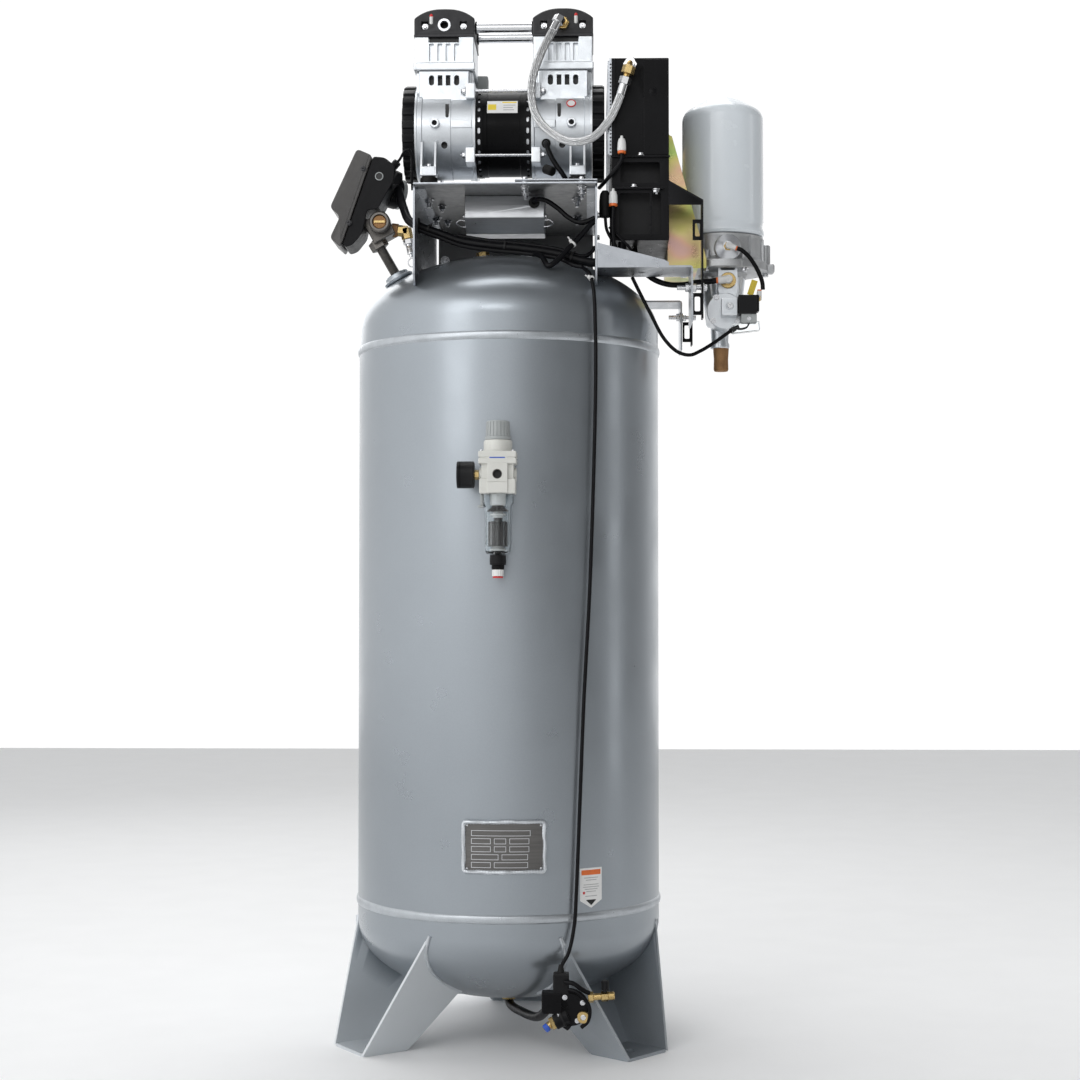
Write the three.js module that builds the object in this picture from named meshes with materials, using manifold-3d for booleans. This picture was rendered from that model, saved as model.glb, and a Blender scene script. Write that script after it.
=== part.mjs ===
// Upright air compressor: a vertical tank on three legs, an oil-free twin pump on a platform
// over it, an aftercooler and a dryer carried on two arms, a pressure switch, a
// filter-regulator and an automatic drain.
// Millimetres, +Z up, floor at z = 0. The regulator faces -Y, the dryer is on the +X side.
import * as THREE from 'three';
import { ConvexGeometry } from 'three/addons/geometries/ConvexGeometry.js';
import { mergeVertices } from 'three/addons/utils/BufferGeometryUtils.js';
import Module from 'manifold-3d';

const wasm = await Module();
wasm.setup();

// Driving dimensions. The tank axis is the local origin while the pieces are laid out.
const TANK_X = -79; // where the tank axis stands in the finished frame
const TANK_Y = 10.3;
const GAP = 0.3; // clearance between touching pieces
const TANK_R = 254;
const WALL = 3;
const WELD_LOW = 223;
const WELD_HIGH = 1143;
const HEAD_FLANGE = 35; // straight part of each dished head
const HEAD_RISE = 127; // 2:1 elliptical part of each dished head
const TANK_SIDES = 40;
const LEG_R = 263; // tank axis to the middle of a foot
const LEG_ANGLES = { left: 215, right: 319, rear: 88 };
const PLATE_Z = 1394; // underside of the platform
const SHEET = 3;
const PLATE_X = [-147, 150];
const PLATE_Y = [-196, 262];
const PUMP_X = -7; // middle of the pump
const AXIS_Z = 1520; // crankshaft height
const CYL_X = 100; // pump middle to each cylinder
const CASE_R = 78;
const CASE_X = [47, 149]; // each crankcase, measured from the pump middle
const BORE_R = 32;
const THROW = 9; // crank throw, half the stroke
const PIN_R = 6;
const SHAFT_R = 8;
const ARM_Z = 1258;
const ARM_END_X = 304;
const STRIP_X = 321;
const DRYER = { x: 365, y: 0, r: 69 };
const REG = { x: -4.5, y: -300 };

// ---------------------------------------------------------------- helpers
const V = (x, y, z) => new THREE.Vector3(x, y, z);

// Bare positions, welded, without collapsed faces, facing out.
function clean(geometry) {
  const source = geometry.index ? geometry.toNonIndexed() : geometry;
  const bare = new THREE.BufferGeometry();
  bare.setAttribute('position', source.getAttribute('position').clone());
  const merged = mergeVertices(bare, 1e-3);
  const p = merged.getAttribute('position');
  const index = merged.index.array;
  const kept = [];
  let volume = 0;
  const a = V();
  const b = V();
  const c = V();
  for (let i = 0; i < index.length; i += 3) {
    const [ia, ib, ic] = [index[i], index[i + 1], index[i + 2]];
    if (ia === ib || ib === ic || ic === ia) continue;
    kept.push(ia, ib, ic);
    a.fromBufferAttribute(p, ia);
    b.fromBufferAttribute(p, ib);
    c.fromBufferAttribute(p, ic);
    volume += a.dot(b.cross(c));
  }
  if (volume < 0) {
    for (let i = 0; i < kept.length; i += 3) {
      [kept[i + 1], kept[i + 2]] = [kept[i + 2], kept[i + 1]];
    }
  }
  merged.setIndex(kept);
  return merged;
}

function toSolid(geometry) {
  const g = clean(geometry);
  return new wasm.Manifold(
    new wasm.Mesh({
      numProp: 3,
      vertProperties: new Float32Array(g.getAttribute('position').array),
      triVerts: new Uint32Array(g.index.array),
    }),
  );
}

function toGeometry(solid) {
  const mesh = solid.getMesh();
  const g = new THREE.BufferGeometry();
  g.setAttribute('position', new THREE.Float32BufferAttribute(mesh.vertProperties, 3));
  g.setIndex([...mesh.triVerts]);
  return g;
}

const join = (...parts) => toGeometry(parts.map(toSolid).reduce((a, b) => a.add(b)));
const cut = (body, ...tools) =>
  toGeometry(tools.map(toSolid).reduce((a, b) => a.subtract(b), toSolid(body)));

// Point the local +Y axis of a geometry along a direction, then move it to a base point.
function aim(geometry, base, direction) {
  const q = new THREE.Quaternion().setFromUnitVectors(V(0, 1, 0), direction.clone().normalize());
  return geometry.applyQuaternion(q).translate(base.x, base.y, base.z);
}

const box = (x0, x1, y0, y1, z0, z1) =>
  new THREE.BoxGeometry(x1 - x0, y1 - y0, z1 - z0).translate(
    (x0 + x1) / 2,
    (y0 + y1) / 2,
    (z0 + z1) / 2,
  );

// Solid of revolution: profile of [radius, height] pairs about a line from base.
function turned(profile, base, direction, sides = 24) {
  const points = profile.map(([r, h]) => new THREE.Vector2(r, h));
  return aim(new THREE.LatheGeometry(points, sides), base, direction);
}

// Round bar from one point to another, with an optional second radius.
function rod(from, to, r, sides = 16, r2 = r) {
  const length = from.distanceTo(to);
  return turned(
    [
      [0, 0],
      [r, 0],
      [r2, length],
      [0, length],
    ],
    from,
    to.clone().sub(from),
    sides,
  );
}

// Sleeve from one point to another.
function sleeve(from, to, inner, outer, sides = 16) {
  const length = from.distanceTo(to);
  return turned(
    [
      [inner, 0],
      [outer, 0],
      [outer, length],
      [inner, length],
      [inner, 0],
    ],
    from,
    to.clone().sub(from),
    sides,
  );
}

// Flat outline of [u, v] pairs pushed along an axis: u, v are y, z / x, z / x, y.
function prism(outline, axis, from, to) {
  const shape = new THREE.Shape(outline.map(([u, v]) => new THREE.Vector2(u, v)));
  const g = new THREE.ExtrudeGeometry(shape, { depth: to - from, bevelEnabled: false });
  const m = new THREE.Matrix4();
  if (axis === 'x') m.makeBasis(V(0, 1, 0), V(0, 0, 1), V(1, 0, 0)).setPosition(from, 0, 0);
  if (axis === 'y') m.makeBasis(V(1, 0, 0), V(0, 0, 1), V(0, -1, 0)).setPosition(0, to, 0);
  if (axis === 'z') m.setPosition(0, 0, from);
  return g.applyMatrix4(m);
}

// Flat plate of a given thickness whose mid-plane holds four or more corner points.
function plate(corners, thickness) {
  const n = corners[1].clone().sub(corners[0]).cross(corners[2].clone().sub(corners[0]));
  n.normalize().multiplyScalar(thickness / 2);
  return new ConvexGeometry(
    corners.flatMap((c) => [c.clone().add(n), c.clone().sub(n)]),
  );
}

// Closed tube along a smooth route.
function cord(route, r, sides, steps) {
  const path = new THREE.CatmullRomCurve3(
    route.map(([x, y, z]) => V(x, y, z)),
    false,
    'centripetal',
  );
  const shape = new THREE.Shape();
  for (let i = 0; i < sides; i += 1) {
    const t = (i / sides) * 2 * Math.PI;
    if (i === 0) shape.moveTo(r, 0);
    else shape.lineTo(r * Math.cos(t), r * Math.sin(t));
  }
  return new THREE.ExtrudeGeometry(shape, { steps, extrudePath: path, bevelEnabled: false });
}

// The same piece on the other side of the pump's middle plane.
const mirrored = (geometry) => geometry.clone().scale(-1, 1, 1).translate(2 * PUMP_X, 0, 0);

const group = new THREE.Group();
group.name = 'air_compressor';

function add(name, geometry, color, metalness, roughness) {
  const g = clean(geometry).translate(TANK_X, TANK_Y, 0);
  const flat = g.toNonIndexed();
  flat.computeVertexNormals();
  const material = new THREE.MeshStandardMaterial({ color, metalness, roughness });
  const mesh = new THREE.Mesh(flat, material);
  mesh.name = name;
  group.add(mesh);
}

const PAINT = 0xa9adb1;
const BLACK = 0x1b1b1d;
const CAST = 0xc4c6c8;
const STEEL = 0xb8babd;
const BRASS = 0xc8a15a;
const RUBBER = 0x151515;

// ---------------------------------------------------------------- tank
// Half profile of a dished head from the weld line outward, offset by d.
function dish(d, steps) {
  const points = [[TANK_R + d, HEAD_FLANGE]];
  for (let i = 1; i < steps; i += 1) {
    const t = (i / steps) * (Math.PI / 2);
    const r = (TANK_R + d) * Math.cos(t);
    points.push([r, HEAD_FLANGE + (HEAD_RISE + d) * Math.sin(t)]);
  }
  points.push([0, HEAD_FLANGE + HEAD_RISE + d]);
  return points;
}

function head() {
  const outer = dish(0, 7);
  const inner = dish(-WALL, 5).reverse();
  return [
    ...inner,
    [TANK_R - WALL, 0],
    [TANK_R + 0.5, 0],
    [TANK_R + 0.5, -7],
    [TANK_R + 4, 0],
    [TANK_R, 8],
    ...outer,
  ];
}

// Solid space taken by a whole head and a clearance round it.
const headSpace = () => [[0, -20], [TANK_R + 0.4, -20], [TANK_R + 0.4, 0], ...dish(0.4, 7)];
const UP = V(0, 0, 1);
const DOWN = V(0, 0, -1);
const LOW = V(0, 0, WELD_LOW);
const HIGH = V(0, 0, WELD_HIGH);

const regHole = rod(V(REG.x, -262, 918), V(REG.x, -240, 918), 10.3, 16);
add(
  'tank_shell',
  cut(
    join(
      sleeve(V(0, 0, WELD_LOW + GAP), V(0, 0, WELD_HIGH - GAP), TANK_R - WALL, TANK_R, TANK_SIDES),
      rod(V(REG.x, -262, 918), V(REG.x, -252, 918), 20, 20),
    ),
    regHole,
  ),
  PAINT,
  0.5,
  0.4,
);

const SWITCH_FOOT = V(-183, -60, 1262);
const SWITCH_UP = V(-0.5, 0, 0.866).normalize();
const along = (base, direction, d) => base.clone().addScaledVector(direction, d);
add(
  'tank_head_top',
  cut(
    join(
      turned(head(), HIGH, UP, TANK_SIDES),
      rod(along(SWITCH_FOOT, SWITCH_UP, -4), along(SWITCH_FOOT, SWITCH_UP, 8), 24, 24, 20),
      rod(V(-42, -40, 1299), V(-42, -40, 1312), 13, 16),
      rod(V(36, -40, 1299), V(36, -40, 1310), 11, 6),
    ),
    rod(along(SWITCH_FOOT, SWITCH_UP, -20), along(SWITCH_FOOT, SWITCH_UP, 20), 8.9, 16),
    rod(V(-42, -40, 1290), V(-42, -40, 1320), 5, 12),
  ),
  PAINT,
  0.5,
  0.4,
);
add(
  'tank_head_bottom',
  cut(
    join(
      turned(head(), LOW, DOWN, TANK_SIDES),
      rod(V(0, 0, 55), V(0, 0, 62.5), 17, 16),
    ),
    rod(V(0, 0, 50), V(0, 0, 70), 8.4, 16),
  ),
  PAINT,
  0.5,
  0.4,
);

// A leg: foot plate, sloping web and two flared wings, cut to the shape of the head.
function leg(degrees) {
  const t = 5;
  const foot = { half: 48.5, inner: 221, outer: 305 };
  const flare = 0.365; // sideways lean of a wing per unit of height
  const side = (z) => foot.half - t / 2 + flare * z;
  const a = (s) => V(s * side(t / 2), foot.outer, t / 2);
  const b = (s) => V(s * side(t / 2), foot.inner + t / 2, t / 2);
  const c = (s) => V(s * side(115), 128, 115);
  const d = (s) => V(s * side(197), 222, 197);
  const raw = join(
    box(-foot.half, foot.half, foot.inner, foot.outer, 0, t),
    plate([a(1), b(1), c(1), d(1)], t),
    plate([a(-1), b(-1), c(-1), d(-1)], t),
    plate([b(1), b(-1), c(-1), c(1)], t),
  );
  const angle = THREE.MathUtils.degToRad(degrees - 90);
  const placed = cut(raw, rod(V(0, LEG_R + 4, -1), V(0, LEG_R + 4, 8), 7.5, 16)).rotateZ(angle);
  const floor = box(-400, 400, -400, 400, -40, 0);
  return cut(placed, turned(headSpace(), LOW, DOWN, TANK_SIDES), floor);
}
for (const [name, degrees] of Object.entries(LEG_ANGLES)) {
  add('leg_' + name, leg(degrees), PAINT, 0.5, 0.45);
}

// Curved patch on the tank wall between two angles from the front line.
function patch(r0, r1, x0, x1, z0, z1) {
  const n = 8;
  const a0 = Math.asin(x0 / TANK_R);
  const a1 = Math.asin(x1 / TANK_R);
  const outline = [];
  for (let i = 0; i <= n; i += 1) {
    const a = a0 + ((a1 - a0) * i) / n;
    outline.push([r0 * Math.sin(a), -r0 * Math.cos(a)]);
  }
  for (let i = n; i >= 0; i -= 1) {
    const a = a0 + ((a1 - a0) * i) / n;
    outline.push([r1 * Math.sin(a), -r1 * Math.cos(a)]);
  }
  return prism(outline, 'z', z0, z1);
}
add(
  'data_plate',
  cut(patch(254.4, 259.5, -64, 70, 295, 380), patch(256.4, 262, -57, 63, 302, 372)),
  STEEL,
  0.8,
  0.4,
);

// ---------------------------------------------------------------- filter-regulator
const rz = (z) => V(REG.x, REG.y, z);
const rb = (hx0, hx1, y0, y1, z0, z1) =>
  box(REG.x + hx0, REG.x + hx1, REG.y + y0, REG.y + y1, z0, z1);
add(
  'regulator_body',
  cut(
    join(
      rb(-26.5, 26.5, -24, 24, 888, 933.5),
      rb(-29.5, 29.5, -26, 26, 933, 953.5),
      rod(rz(953), rz(972), 22.5, 24),
      rod(V(REG.x, REG.y - 27, 918), V(REG.x, REG.y, 918), 13, 16),
      rod(V(REG.x, REG.y + 22, 918), V(REG.x, -246, 918), 10, 16),
    ),
    rod(rz(940), rz(980), 5.5, 16),
    rod(V(REG.x, REG.y - 30, 918), V(REG.x, REG.y - 12, 918), 7.5, 16),
    rod(V(REG.x, REG.y + 12, 918), V(REG.x, -230, 918), 6, 12),
    rod(rz(880), rz(899.6), 19, 24),
    rod(V(REG.x - 40, REG.y, 918), V(REG.x - 16, REG.y, 918), 4.5, 12),
  ),
  0xe2e2dd,
  0.1,
  0.5,
);
add(
  'regulator_stem',
  join(rod(rz(942), rz(975), 5, 16), rod(rz(974), rz(988), 10, 20)),
  STEEL,
  0.8,
  0.4,
);
add(
  'regulator_knob',
  turned(
    [
      [10.6, 0],
      [19, 0],
      [20, 2],
      [20, 26],
      [17, 29.7],
      [0, 29.7],
      [0, 19],
      [10.6, 19],
      [10.6, 0],
    ],
    rz(972.3),
    UP,
    30,
  ),
  0x9b9d9c,
  0.1,
  0.6,
);
add(
  'filter_bowl',
  turned(
    [
      [6.6, 0],
      [14, 0],
      [18.5, 6],
      [18.5, 105],
      [16.5, 105],
      [16.5, 8],
      [12, 3],
      [6.6, 3],
      [6.6, 0],
    ],
    rz(794.3),
    UP,
    24,
  ),
  0xd9e2e4,
  0,
  0.2,
);
add(
  'filter_element',
  turned(
    [
      [0, 0],
      [13, 0],
      [13, 40],
      [5, 42],
      [5, 55],
      [15.5, 57],
      [13, 65],
      [5, 66],
      [5, 93.4],
      [0, 93.4],
    ],
    rz(806),
    UP,
    20,
  ),
  0x3a3d42,
  0.1,
  0.7,
);
add(
  'bowl_drain',
  turned(
    [
      [0, 0],
      [8, 0],
      [8, 6],
      [10, 6.5],
      [10, 20],
      [12.5, 20.5],
      [12.5, 35.9],
      [6.1, 35.9],
      [6.1, 42],
      [0, 42],
    ],
    rz(758),
    UP,
    20,
  ),
  0x202022,
  0.1,
  0.5,
);
const GAUGE_X = REG.x - 36.5; // back of the gauge case
const LEFT = V(-1, 0, 0);
const RIGHT = V(1, 0, 0);
const gaugeFoot = V(GAUGE_X, REG.y, 918);
add(
  'gauge_case',
  cut(
    join(
      turned(
        [
          [0, 0],
          [19.5, 0],
          [21, 2],
          [21, 27],
          [19, 27],
          [19, 12],
          [0, 12],
        ],
        gaugeFoot,
        LEFT,
        28,
      ),
      rod(V(GAUGE_X - 1, REG.y, 918), V(REG.x - 30, REG.y, 918), 7, 6),
      rod(V(GAUGE_X, REG.y, 918), V(REG.x - 18, REG.y, 918), 4.2, 12),
    ),
    rod(V(GAUGE_X - 20, REG.y, 918), V(GAUGE_X - 7, REG.y, 918), 1.3, 10),
  ),
  BLACK,
  0.3,
  0.5,
);
add(
  'gauge_needle',
  join(
    rod(V(GAUGE_X - 8, REG.y, 918), V(GAUGE_X - 15, REG.y, 918), 1, 10),
    rod(V(GAUGE_X - 12.4, REG.y, 918), V(GAUGE_X - 15, REG.y, 918), 2.8, 12),
    prism(
      [
        [-1, -6],
        [1, -6],
        [0.5, 16],
        [-0.5, 16],
      ],
      'x',
      GAUGE_X - 14,
      GAUGE_X - 13,
    )
      .rotateX(THREE.MathUtils.degToRad(-135))
      .translate(0, REG.y, 918),
  ),
  0x111111,
  0.2,
  0.5,
);

// ---------------------------------------------------------------- pump
const px = (x) => PUMP_X - x; // distance from the pump middle, on the left side
const ax = (x) => V(px(x), 0, AXIS_Z);
const NECK_TOP = 1615.7;

function crankcase() {
  const ribs = [];
  for (const s of [-1, 1]) {
    for (const x of [113, 135]) {
      const outline = [
        [s * 92, 1430.3],
        [s * 92, 1452],
        [s * 76, 1492],
        [s * 50, 1500],
        [s * 40, 1460],
        [s * 62, 1430.3],
      ];
      ribs.push(prism(s > 0 ? outline : outline.reverse(), 'x', px(x + 2.5), px(x - 2.5)));
    }
    const y = [s * 62, s * 92].sort((a, b) => a - b);
    ribs.push(box(px(136), px(112), y[0], y[1], 1430.3, 1446));
  }
  const slots = [];
  for (const x of [79, 91, 103, 118]) {
    slots.push(box(px(x + 5), px(x - 5), -70, -36, 1588, 1603));
  }
  return cut(
    join(
      rod(ax(CASE_X[0]), ax(CASE_X[1]), CASE_R, 24),
      rod(ax(CASE_X[0] + 41), ax(CASE_X[1]), CASE_R + 2, 24),
      box(px(146), px(56), -60, 60, 1550, NECK_TOP),
      rod(V(px(128), -86, AXIS_Z), V(px(128), -40, AXIS_Z), 8, 12),
      ...ribs,
    ),
    rod(ax(CASE_X[0] + 4), ax(CASE_X[1] - 4), 71, 20),
    rod(V(px(CYL_X), 0, 1540), V(px(CYL_X), 0, 1640), 38, 20),
    rod(ax(30), ax(160), SHAFT_R + 0.4, 12),
    rod(V(px(128), -90, AXIS_Z), V(px(128), -60, AXIS_Z), 4, 10),
    rod(V(px(119), -90, 1486), V(px(119), -60, 1486), 3, 10),
    box(px(118), px(112), -90, -60, 1528, 1550),
    ...[-77, 77].map((y) => rod(V(px(124), y, 1420), V(px(124), y, 1450), 4.5, 10)),
    ...slots,
  );
}
const crankcaseLeft = crankcase();
add('crankcase_left', crankcaseLeft, CAST, 0.6, 0.45);
add('crankcase_right', mirrored(crankcaseLeft), CAST, 0.6, 0.45);

add(
  'motor_shell',
  turned(
    [
      [39.5, 12],
      [70, 12],
      [70, 0],
      [74, 0],
      [74, 93.4],
      [70, 93.4],
      [70, 81.4],
      [39.5, 81.4],
      [39.5, 12],
    ],
    ax(46.7),
    RIGHT,
    24,
  ),
  BLACK,
  0.3,
  0.5,
);

// One end of the crankshaft: journal, two webs with the pin between them, fan seat.
function crankEnd() {
  const pin = (x) => V(px(x), THROW, AXIS_Z);
  return join(
    rod(ax(0), ax(93), SHAFT_R, 12),
    rod(ax(89), ax(93), 18, 16),
    rod(pin(91), pin(109), PIN_R, 12),
    rod(ax(107), ax(111), 18, 16),
    rod(ax(107), ax(163), SHAFT_R, 12),
  );
}
const halfCrank = crankEnd();
const opposite = mirrored(halfCrank.clone().scale(1, -1, 1));
add(
  'crankshaft',
  join(halfCrank, opposite, rod(ax(33), ax(-33), 38.5, 24)),
  STEEL,
  0.8,
  0.35,
);

function fan() {
  const blades = [];
  for (let i = 0; i < 9; i += 1) {
    const blade = box(px(163), px(153.5), -1.5, 1.5, 12, 66);
    blades.push(blade.rotateX((i * 2 * Math.PI) / 9).translate(0, 0, AXIS_Z));
  }
  return cut(
    join(rod(ax(151), ax(154), 66, 18), rod(ax(151), ax(163), 15, 12), ...blades),
    rod(ax(140), ax(170), SHAFT_R + 0.4, 12),
  );
}
const fanLeft = fan();
add('pump_fan_left', fanLeft, BLACK, 0.1, 0.6);
add('pump_fan_right', mirrored(fanLeft), BLACK, 0.1, 0.6);

function fanGuard() {
  const slots = [];
  for (let i = 0; i < 10; i += 1) {
    const slot = box(px(175), px(160), -6, 6, 30, 68);
    slots.push(slot.rotateX((i * 2 * Math.PI) / 10).translate(0, 0, AXIS_Z));
  }
  return cut(
    join(rod(ax(CASE_X[1] + GAP), ax(164), 82, 24), rod(ax(163), ax(170), 82, 24, 76)),
    rod(ax(145), ax(167), 73, 24),
    ...slots,
  );
}
const guardLeft = fanGuard();
add('fan_guard_left', guardLeft, BLACK, 0.1, 0.6);
add('fan_guard_right', mirrored(guardLeft), BLACK, 0.1, 0.6);

function cylinder() {
  const grooves = [];
  for (const x of [82, 94, 106, 118]) {
    grooves.push(box(px(x + 2), px(x - 2), -70, -54, 1630, 1658));
    grooves.push(box(px(x + 2), px(x - 2), 54, 70, 1630, 1658));
  }
  return cut(
    join(
      box(px(152), px(48), -62, 62, 1616, 1629),
      box(px(150), px(50), -60, 60, 1628, 1673),
    ),
    rod(V(px(CYL_X), 0, 1600), V(px(CYL_X), 0, 1690), BORE_R, 24),
    box(px(126), px(76), -70, -50, 1662, 1680),
    ...grooves,
  );
}
const cylinderLeft = cylinder();
add('cylinder_left', cylinderLeft, CAST, 0.6, 0.45);
add('cylinder_right', mirrored(cylinderLeft), CAST, 0.6, 0.45);

const HEAD_Z = 1673.3;
const PORT_Z = 1693;
const TUBE_Z = 1696;
const TUBE_Y = [-30, 30];
function pumpHead() {
  const outline = [
    [px(151), HEAD_Z],
    [px(49), HEAD_Z],
    [px(49), 1706],
    [px(58), 1714],
    [px(80), 1719.5],
    [px(100), 1721],
    [px(120), 1719.5],
    [px(142), 1714],
    [px(151), 1706],
  ];
  return cut(
    prism(outline, 'y', -60, 60),
    box(px(130), px(70), -40, 40, HEAD_Z - 1, 1704),
    rod(V(px(CYL_X), -70, PORT_Z), V(px(CYL_X), -30, PORT_Z), 8, 16),
    ...TUBE_Y.map((y) => rod(V(px(80), y, TUBE_Z), V(px(40), y, TUBE_Z), 8.9, 12)),
  );
}
const headLeft = pumpHead();
add('head_left', headLeft, BLACK, 0.3, 0.6);
add('head_right', mirrored(headLeft), BLACK, 0.3, 0.6);

// Piston at mid stroke; the big-end ring clears the crank pin in every position.
function piston() {
  const x0 = px(CYL_X + 5);
  const x1 = px(CYL_X - 5);
  return join(
    rod(V(px(CYL_X), 0, 1634), V(px(CYL_X), 0, 1646), BORE_R - 0.8, 24),
    box(x0, x1, -7, 7, 1551, 1636),
    sleeve(V(x0, 0, AXIS_Z), V(x1, 0, AXIS_Z), 25, 33, 20),
  );
}
const pistonLeft = piston();
add('piston_left', pistonLeft, STEEL, 0.7, 0.4);
add('piston_right', mirrored(pistonLeft), STEEL, 0.7, 0.4);

['manifold_tube_front', 'manifold_tube_rear'].forEach((name, i) => {
  const y = TUBE_Y[i];
  add(name, sleeve(V(px(60), y, TUBE_Z), V(px(-60), y, TUBE_Z), 6.5, 8.5, 12), STEEL, 0.8, 0.35);
});

for (const [side, s] of [['left', 1], ['right', -1]]) {
  for (const [end, y] of [['front', -77], ['rear', 77]]) {
    const foot = (z) => V(PUMP_X - s * 124, y, z);
    const bolt = rod(foot(1428), foot(1453), 4, 10);
    add(
      'pump_foot_' + side + '_' + end,
      join(rod(foot(PLATE_Z + SHEET + GAP), foot(1430), 15, 18), bolt),
      RUBBER,
      0,
      0.9,
    );
  }
}

// ---------------------------------------------------------------- platform
const [X0, X1] = PLATE_X;
const [Y0, Y1] = PLATE_Y;
add(
  'platform_top',
  join(
    box(X0, X1, Y0, Y1, PLATE_Z, PLATE_Z + SHEET),
    box(X0 + 6, X1 - 6, Y1 - SHEET, Y1, 1329, PLATE_Z + 1),
  ),
  STEEL,
  0.6,
  0.4,
);

// The wiring comes in through a hole in the left side plate and leaves through one in the
// right side plate and the front arm.
const loomEntry = rod(V(-155, -128, 1339.5), V(-135, -128, 1339.5), 12, 16);
const loomHole = rod(V(140, -160, 1272), V(160, -160, 1272), 11, 16);

// Side plate: bottom edge follows the tank head, with a hole where the wiring crosses it.
function sidePlate(x0, x1, hole) {
  const outline = [
    [Y0, PLATE_Z - GAP],
    [Y0, 1242],
    [Y0 + 10, 1232],
    [-150, 1232],
    [-120, 1200],
    [150, 1200],
    [Y1 - 60, 1232],
    [Y1 - 10, 1232],
    [Y1, 1242],
    [Y1, PLATE_Z - GAP],
  ];
  return cut(
    prism(outline, 'x', x0, x1),
    turned(headSpace(), HIGH, UP, TANK_SIDES),
    hole,
  );
}
add('platform_side_left', sidePlate(X0, X0 + SHEET, loomEntry), STEEL, 0.6, 0.4);
add('platform_side_right', sidePlate(X1 - SHEET, X1, loomHole), STEEL, 0.6, 0.4);

const cover = [
  [-105, PLATE_Z - GAP],
  [-112, 1376],
  [-112, 1356],
  [-84, 1334],
  [-40, 1334],
  [-12, 1356],
  [-12, 1376],
  [-19, PLATE_Z - GAP],
];
const coverInside = [
  [-102.5, PLATE_Z],
  [-109.5, 1375.5],
  [-109.5, 1357.2],
  [-83.2, 1336.5],
  [-40.8, 1336.5],
  [-14.5, 1357.2],
  [-14.5, 1375.5],
  [-21.5, PLATE_Z],
];
add(
  'capacitor_cover',
  cut(
    join(prism(cover, 'x', -69, 63)),
    prism(coverInside, 'x', -66.5, 60.5),
    rod(V(46, -120, 1380), V(46, -100, 1380), 6, 12),
  ),
  0xcfd1d3,
  0.9,
  0.4,
);

// ---------------------------------------------------------------- aftercooler
const COOL_Y = [-160, 200];
const COOL_MID = (COOL_Y[0] + COOL_Y[1]) / 2;
const FAN_Z = 1525;
add(
  'cooler_shroud',
  cut(
    join(
      box(172, 267, COOL_Y[0], COOL_Y[1], 1446, 1607),
      rod(V(204, COOL_Y[0] - 4, 1596), V(204, COOL_Y[0] + 2, 1596), 11, 6),
    ),
    box(160, 264.5, COOL_Y[0] + 2.5, COOL_Y[1] - 2.5, 1448.5, 1604.5),
    rod(V(260, COOL_MID, FAN_Z), V(270, COOL_MID, FAN_Z), 60, 24),
    rod(V(204, COOL_Y[0] - 8, 1596), V(204, COOL_Y[0] + 6, 1596), 5, 12),
  ),
  BLACK,
  0.3,
  0.6,
);
const fins = [box(174, 190, COOL_Y[0] + 3, COOL_Y[1] - 3, 1448.8, 1453)];
for (let i = 0; i < 8; i += 1) {
  const y = COOL_Y[0] + 10 + (i * (COOL_Y[1] - COOL_Y[0] - 20)) / 7;
  fins.push(box(167, 188, y - 2, y + 2, 1450, 1603));
}
fins.push(box(172.5, 190, COOL_Y[0] + 3, COOL_Y[1] - 3, 1600, 1604));
fins.push(box(182, 190, COOL_Y[0] + 3, COOL_Y[1] - 3, 1452, 1602));
// The fan motor stands on the back of the core.
fins.push(rod(V(189, COOL_MID, FAN_Z), V(206, COOL_MID, FAN_Z), 22, 18));
add(
  'cooler_core',
  cut(join(...fins), rod(V(195, COOL_MID, FAN_Z), V(210, COOL_MID, FAN_Z), 4.5, 12)),
  STEEL,
  0.7,
  0.4,
);
const coolerBlades = [];
for (let i = 0; i < 7; i += 1) {
  const blade = box(-1.2, 1.2, -14, 14, 14, 56).rotateZ(0.8);
  coolerBlades.push(blade.rotateX((i * 2 * Math.PI) / 7).translate(222, COOL_MID, FAN_Z));
}
add(
  'cooler_fan',
  join(
    rod(V(211, COOL_MID, FAN_Z), V(233, COOL_MID, FAN_Z), 20, 20),
    rod(V(198, COOL_MID, FAN_Z), V(212, COOL_MID, FAN_Z), 4, 12),
    ...coolerBlades,
  ),
  BLACK,
  0.1,
  0.6,
);

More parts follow.
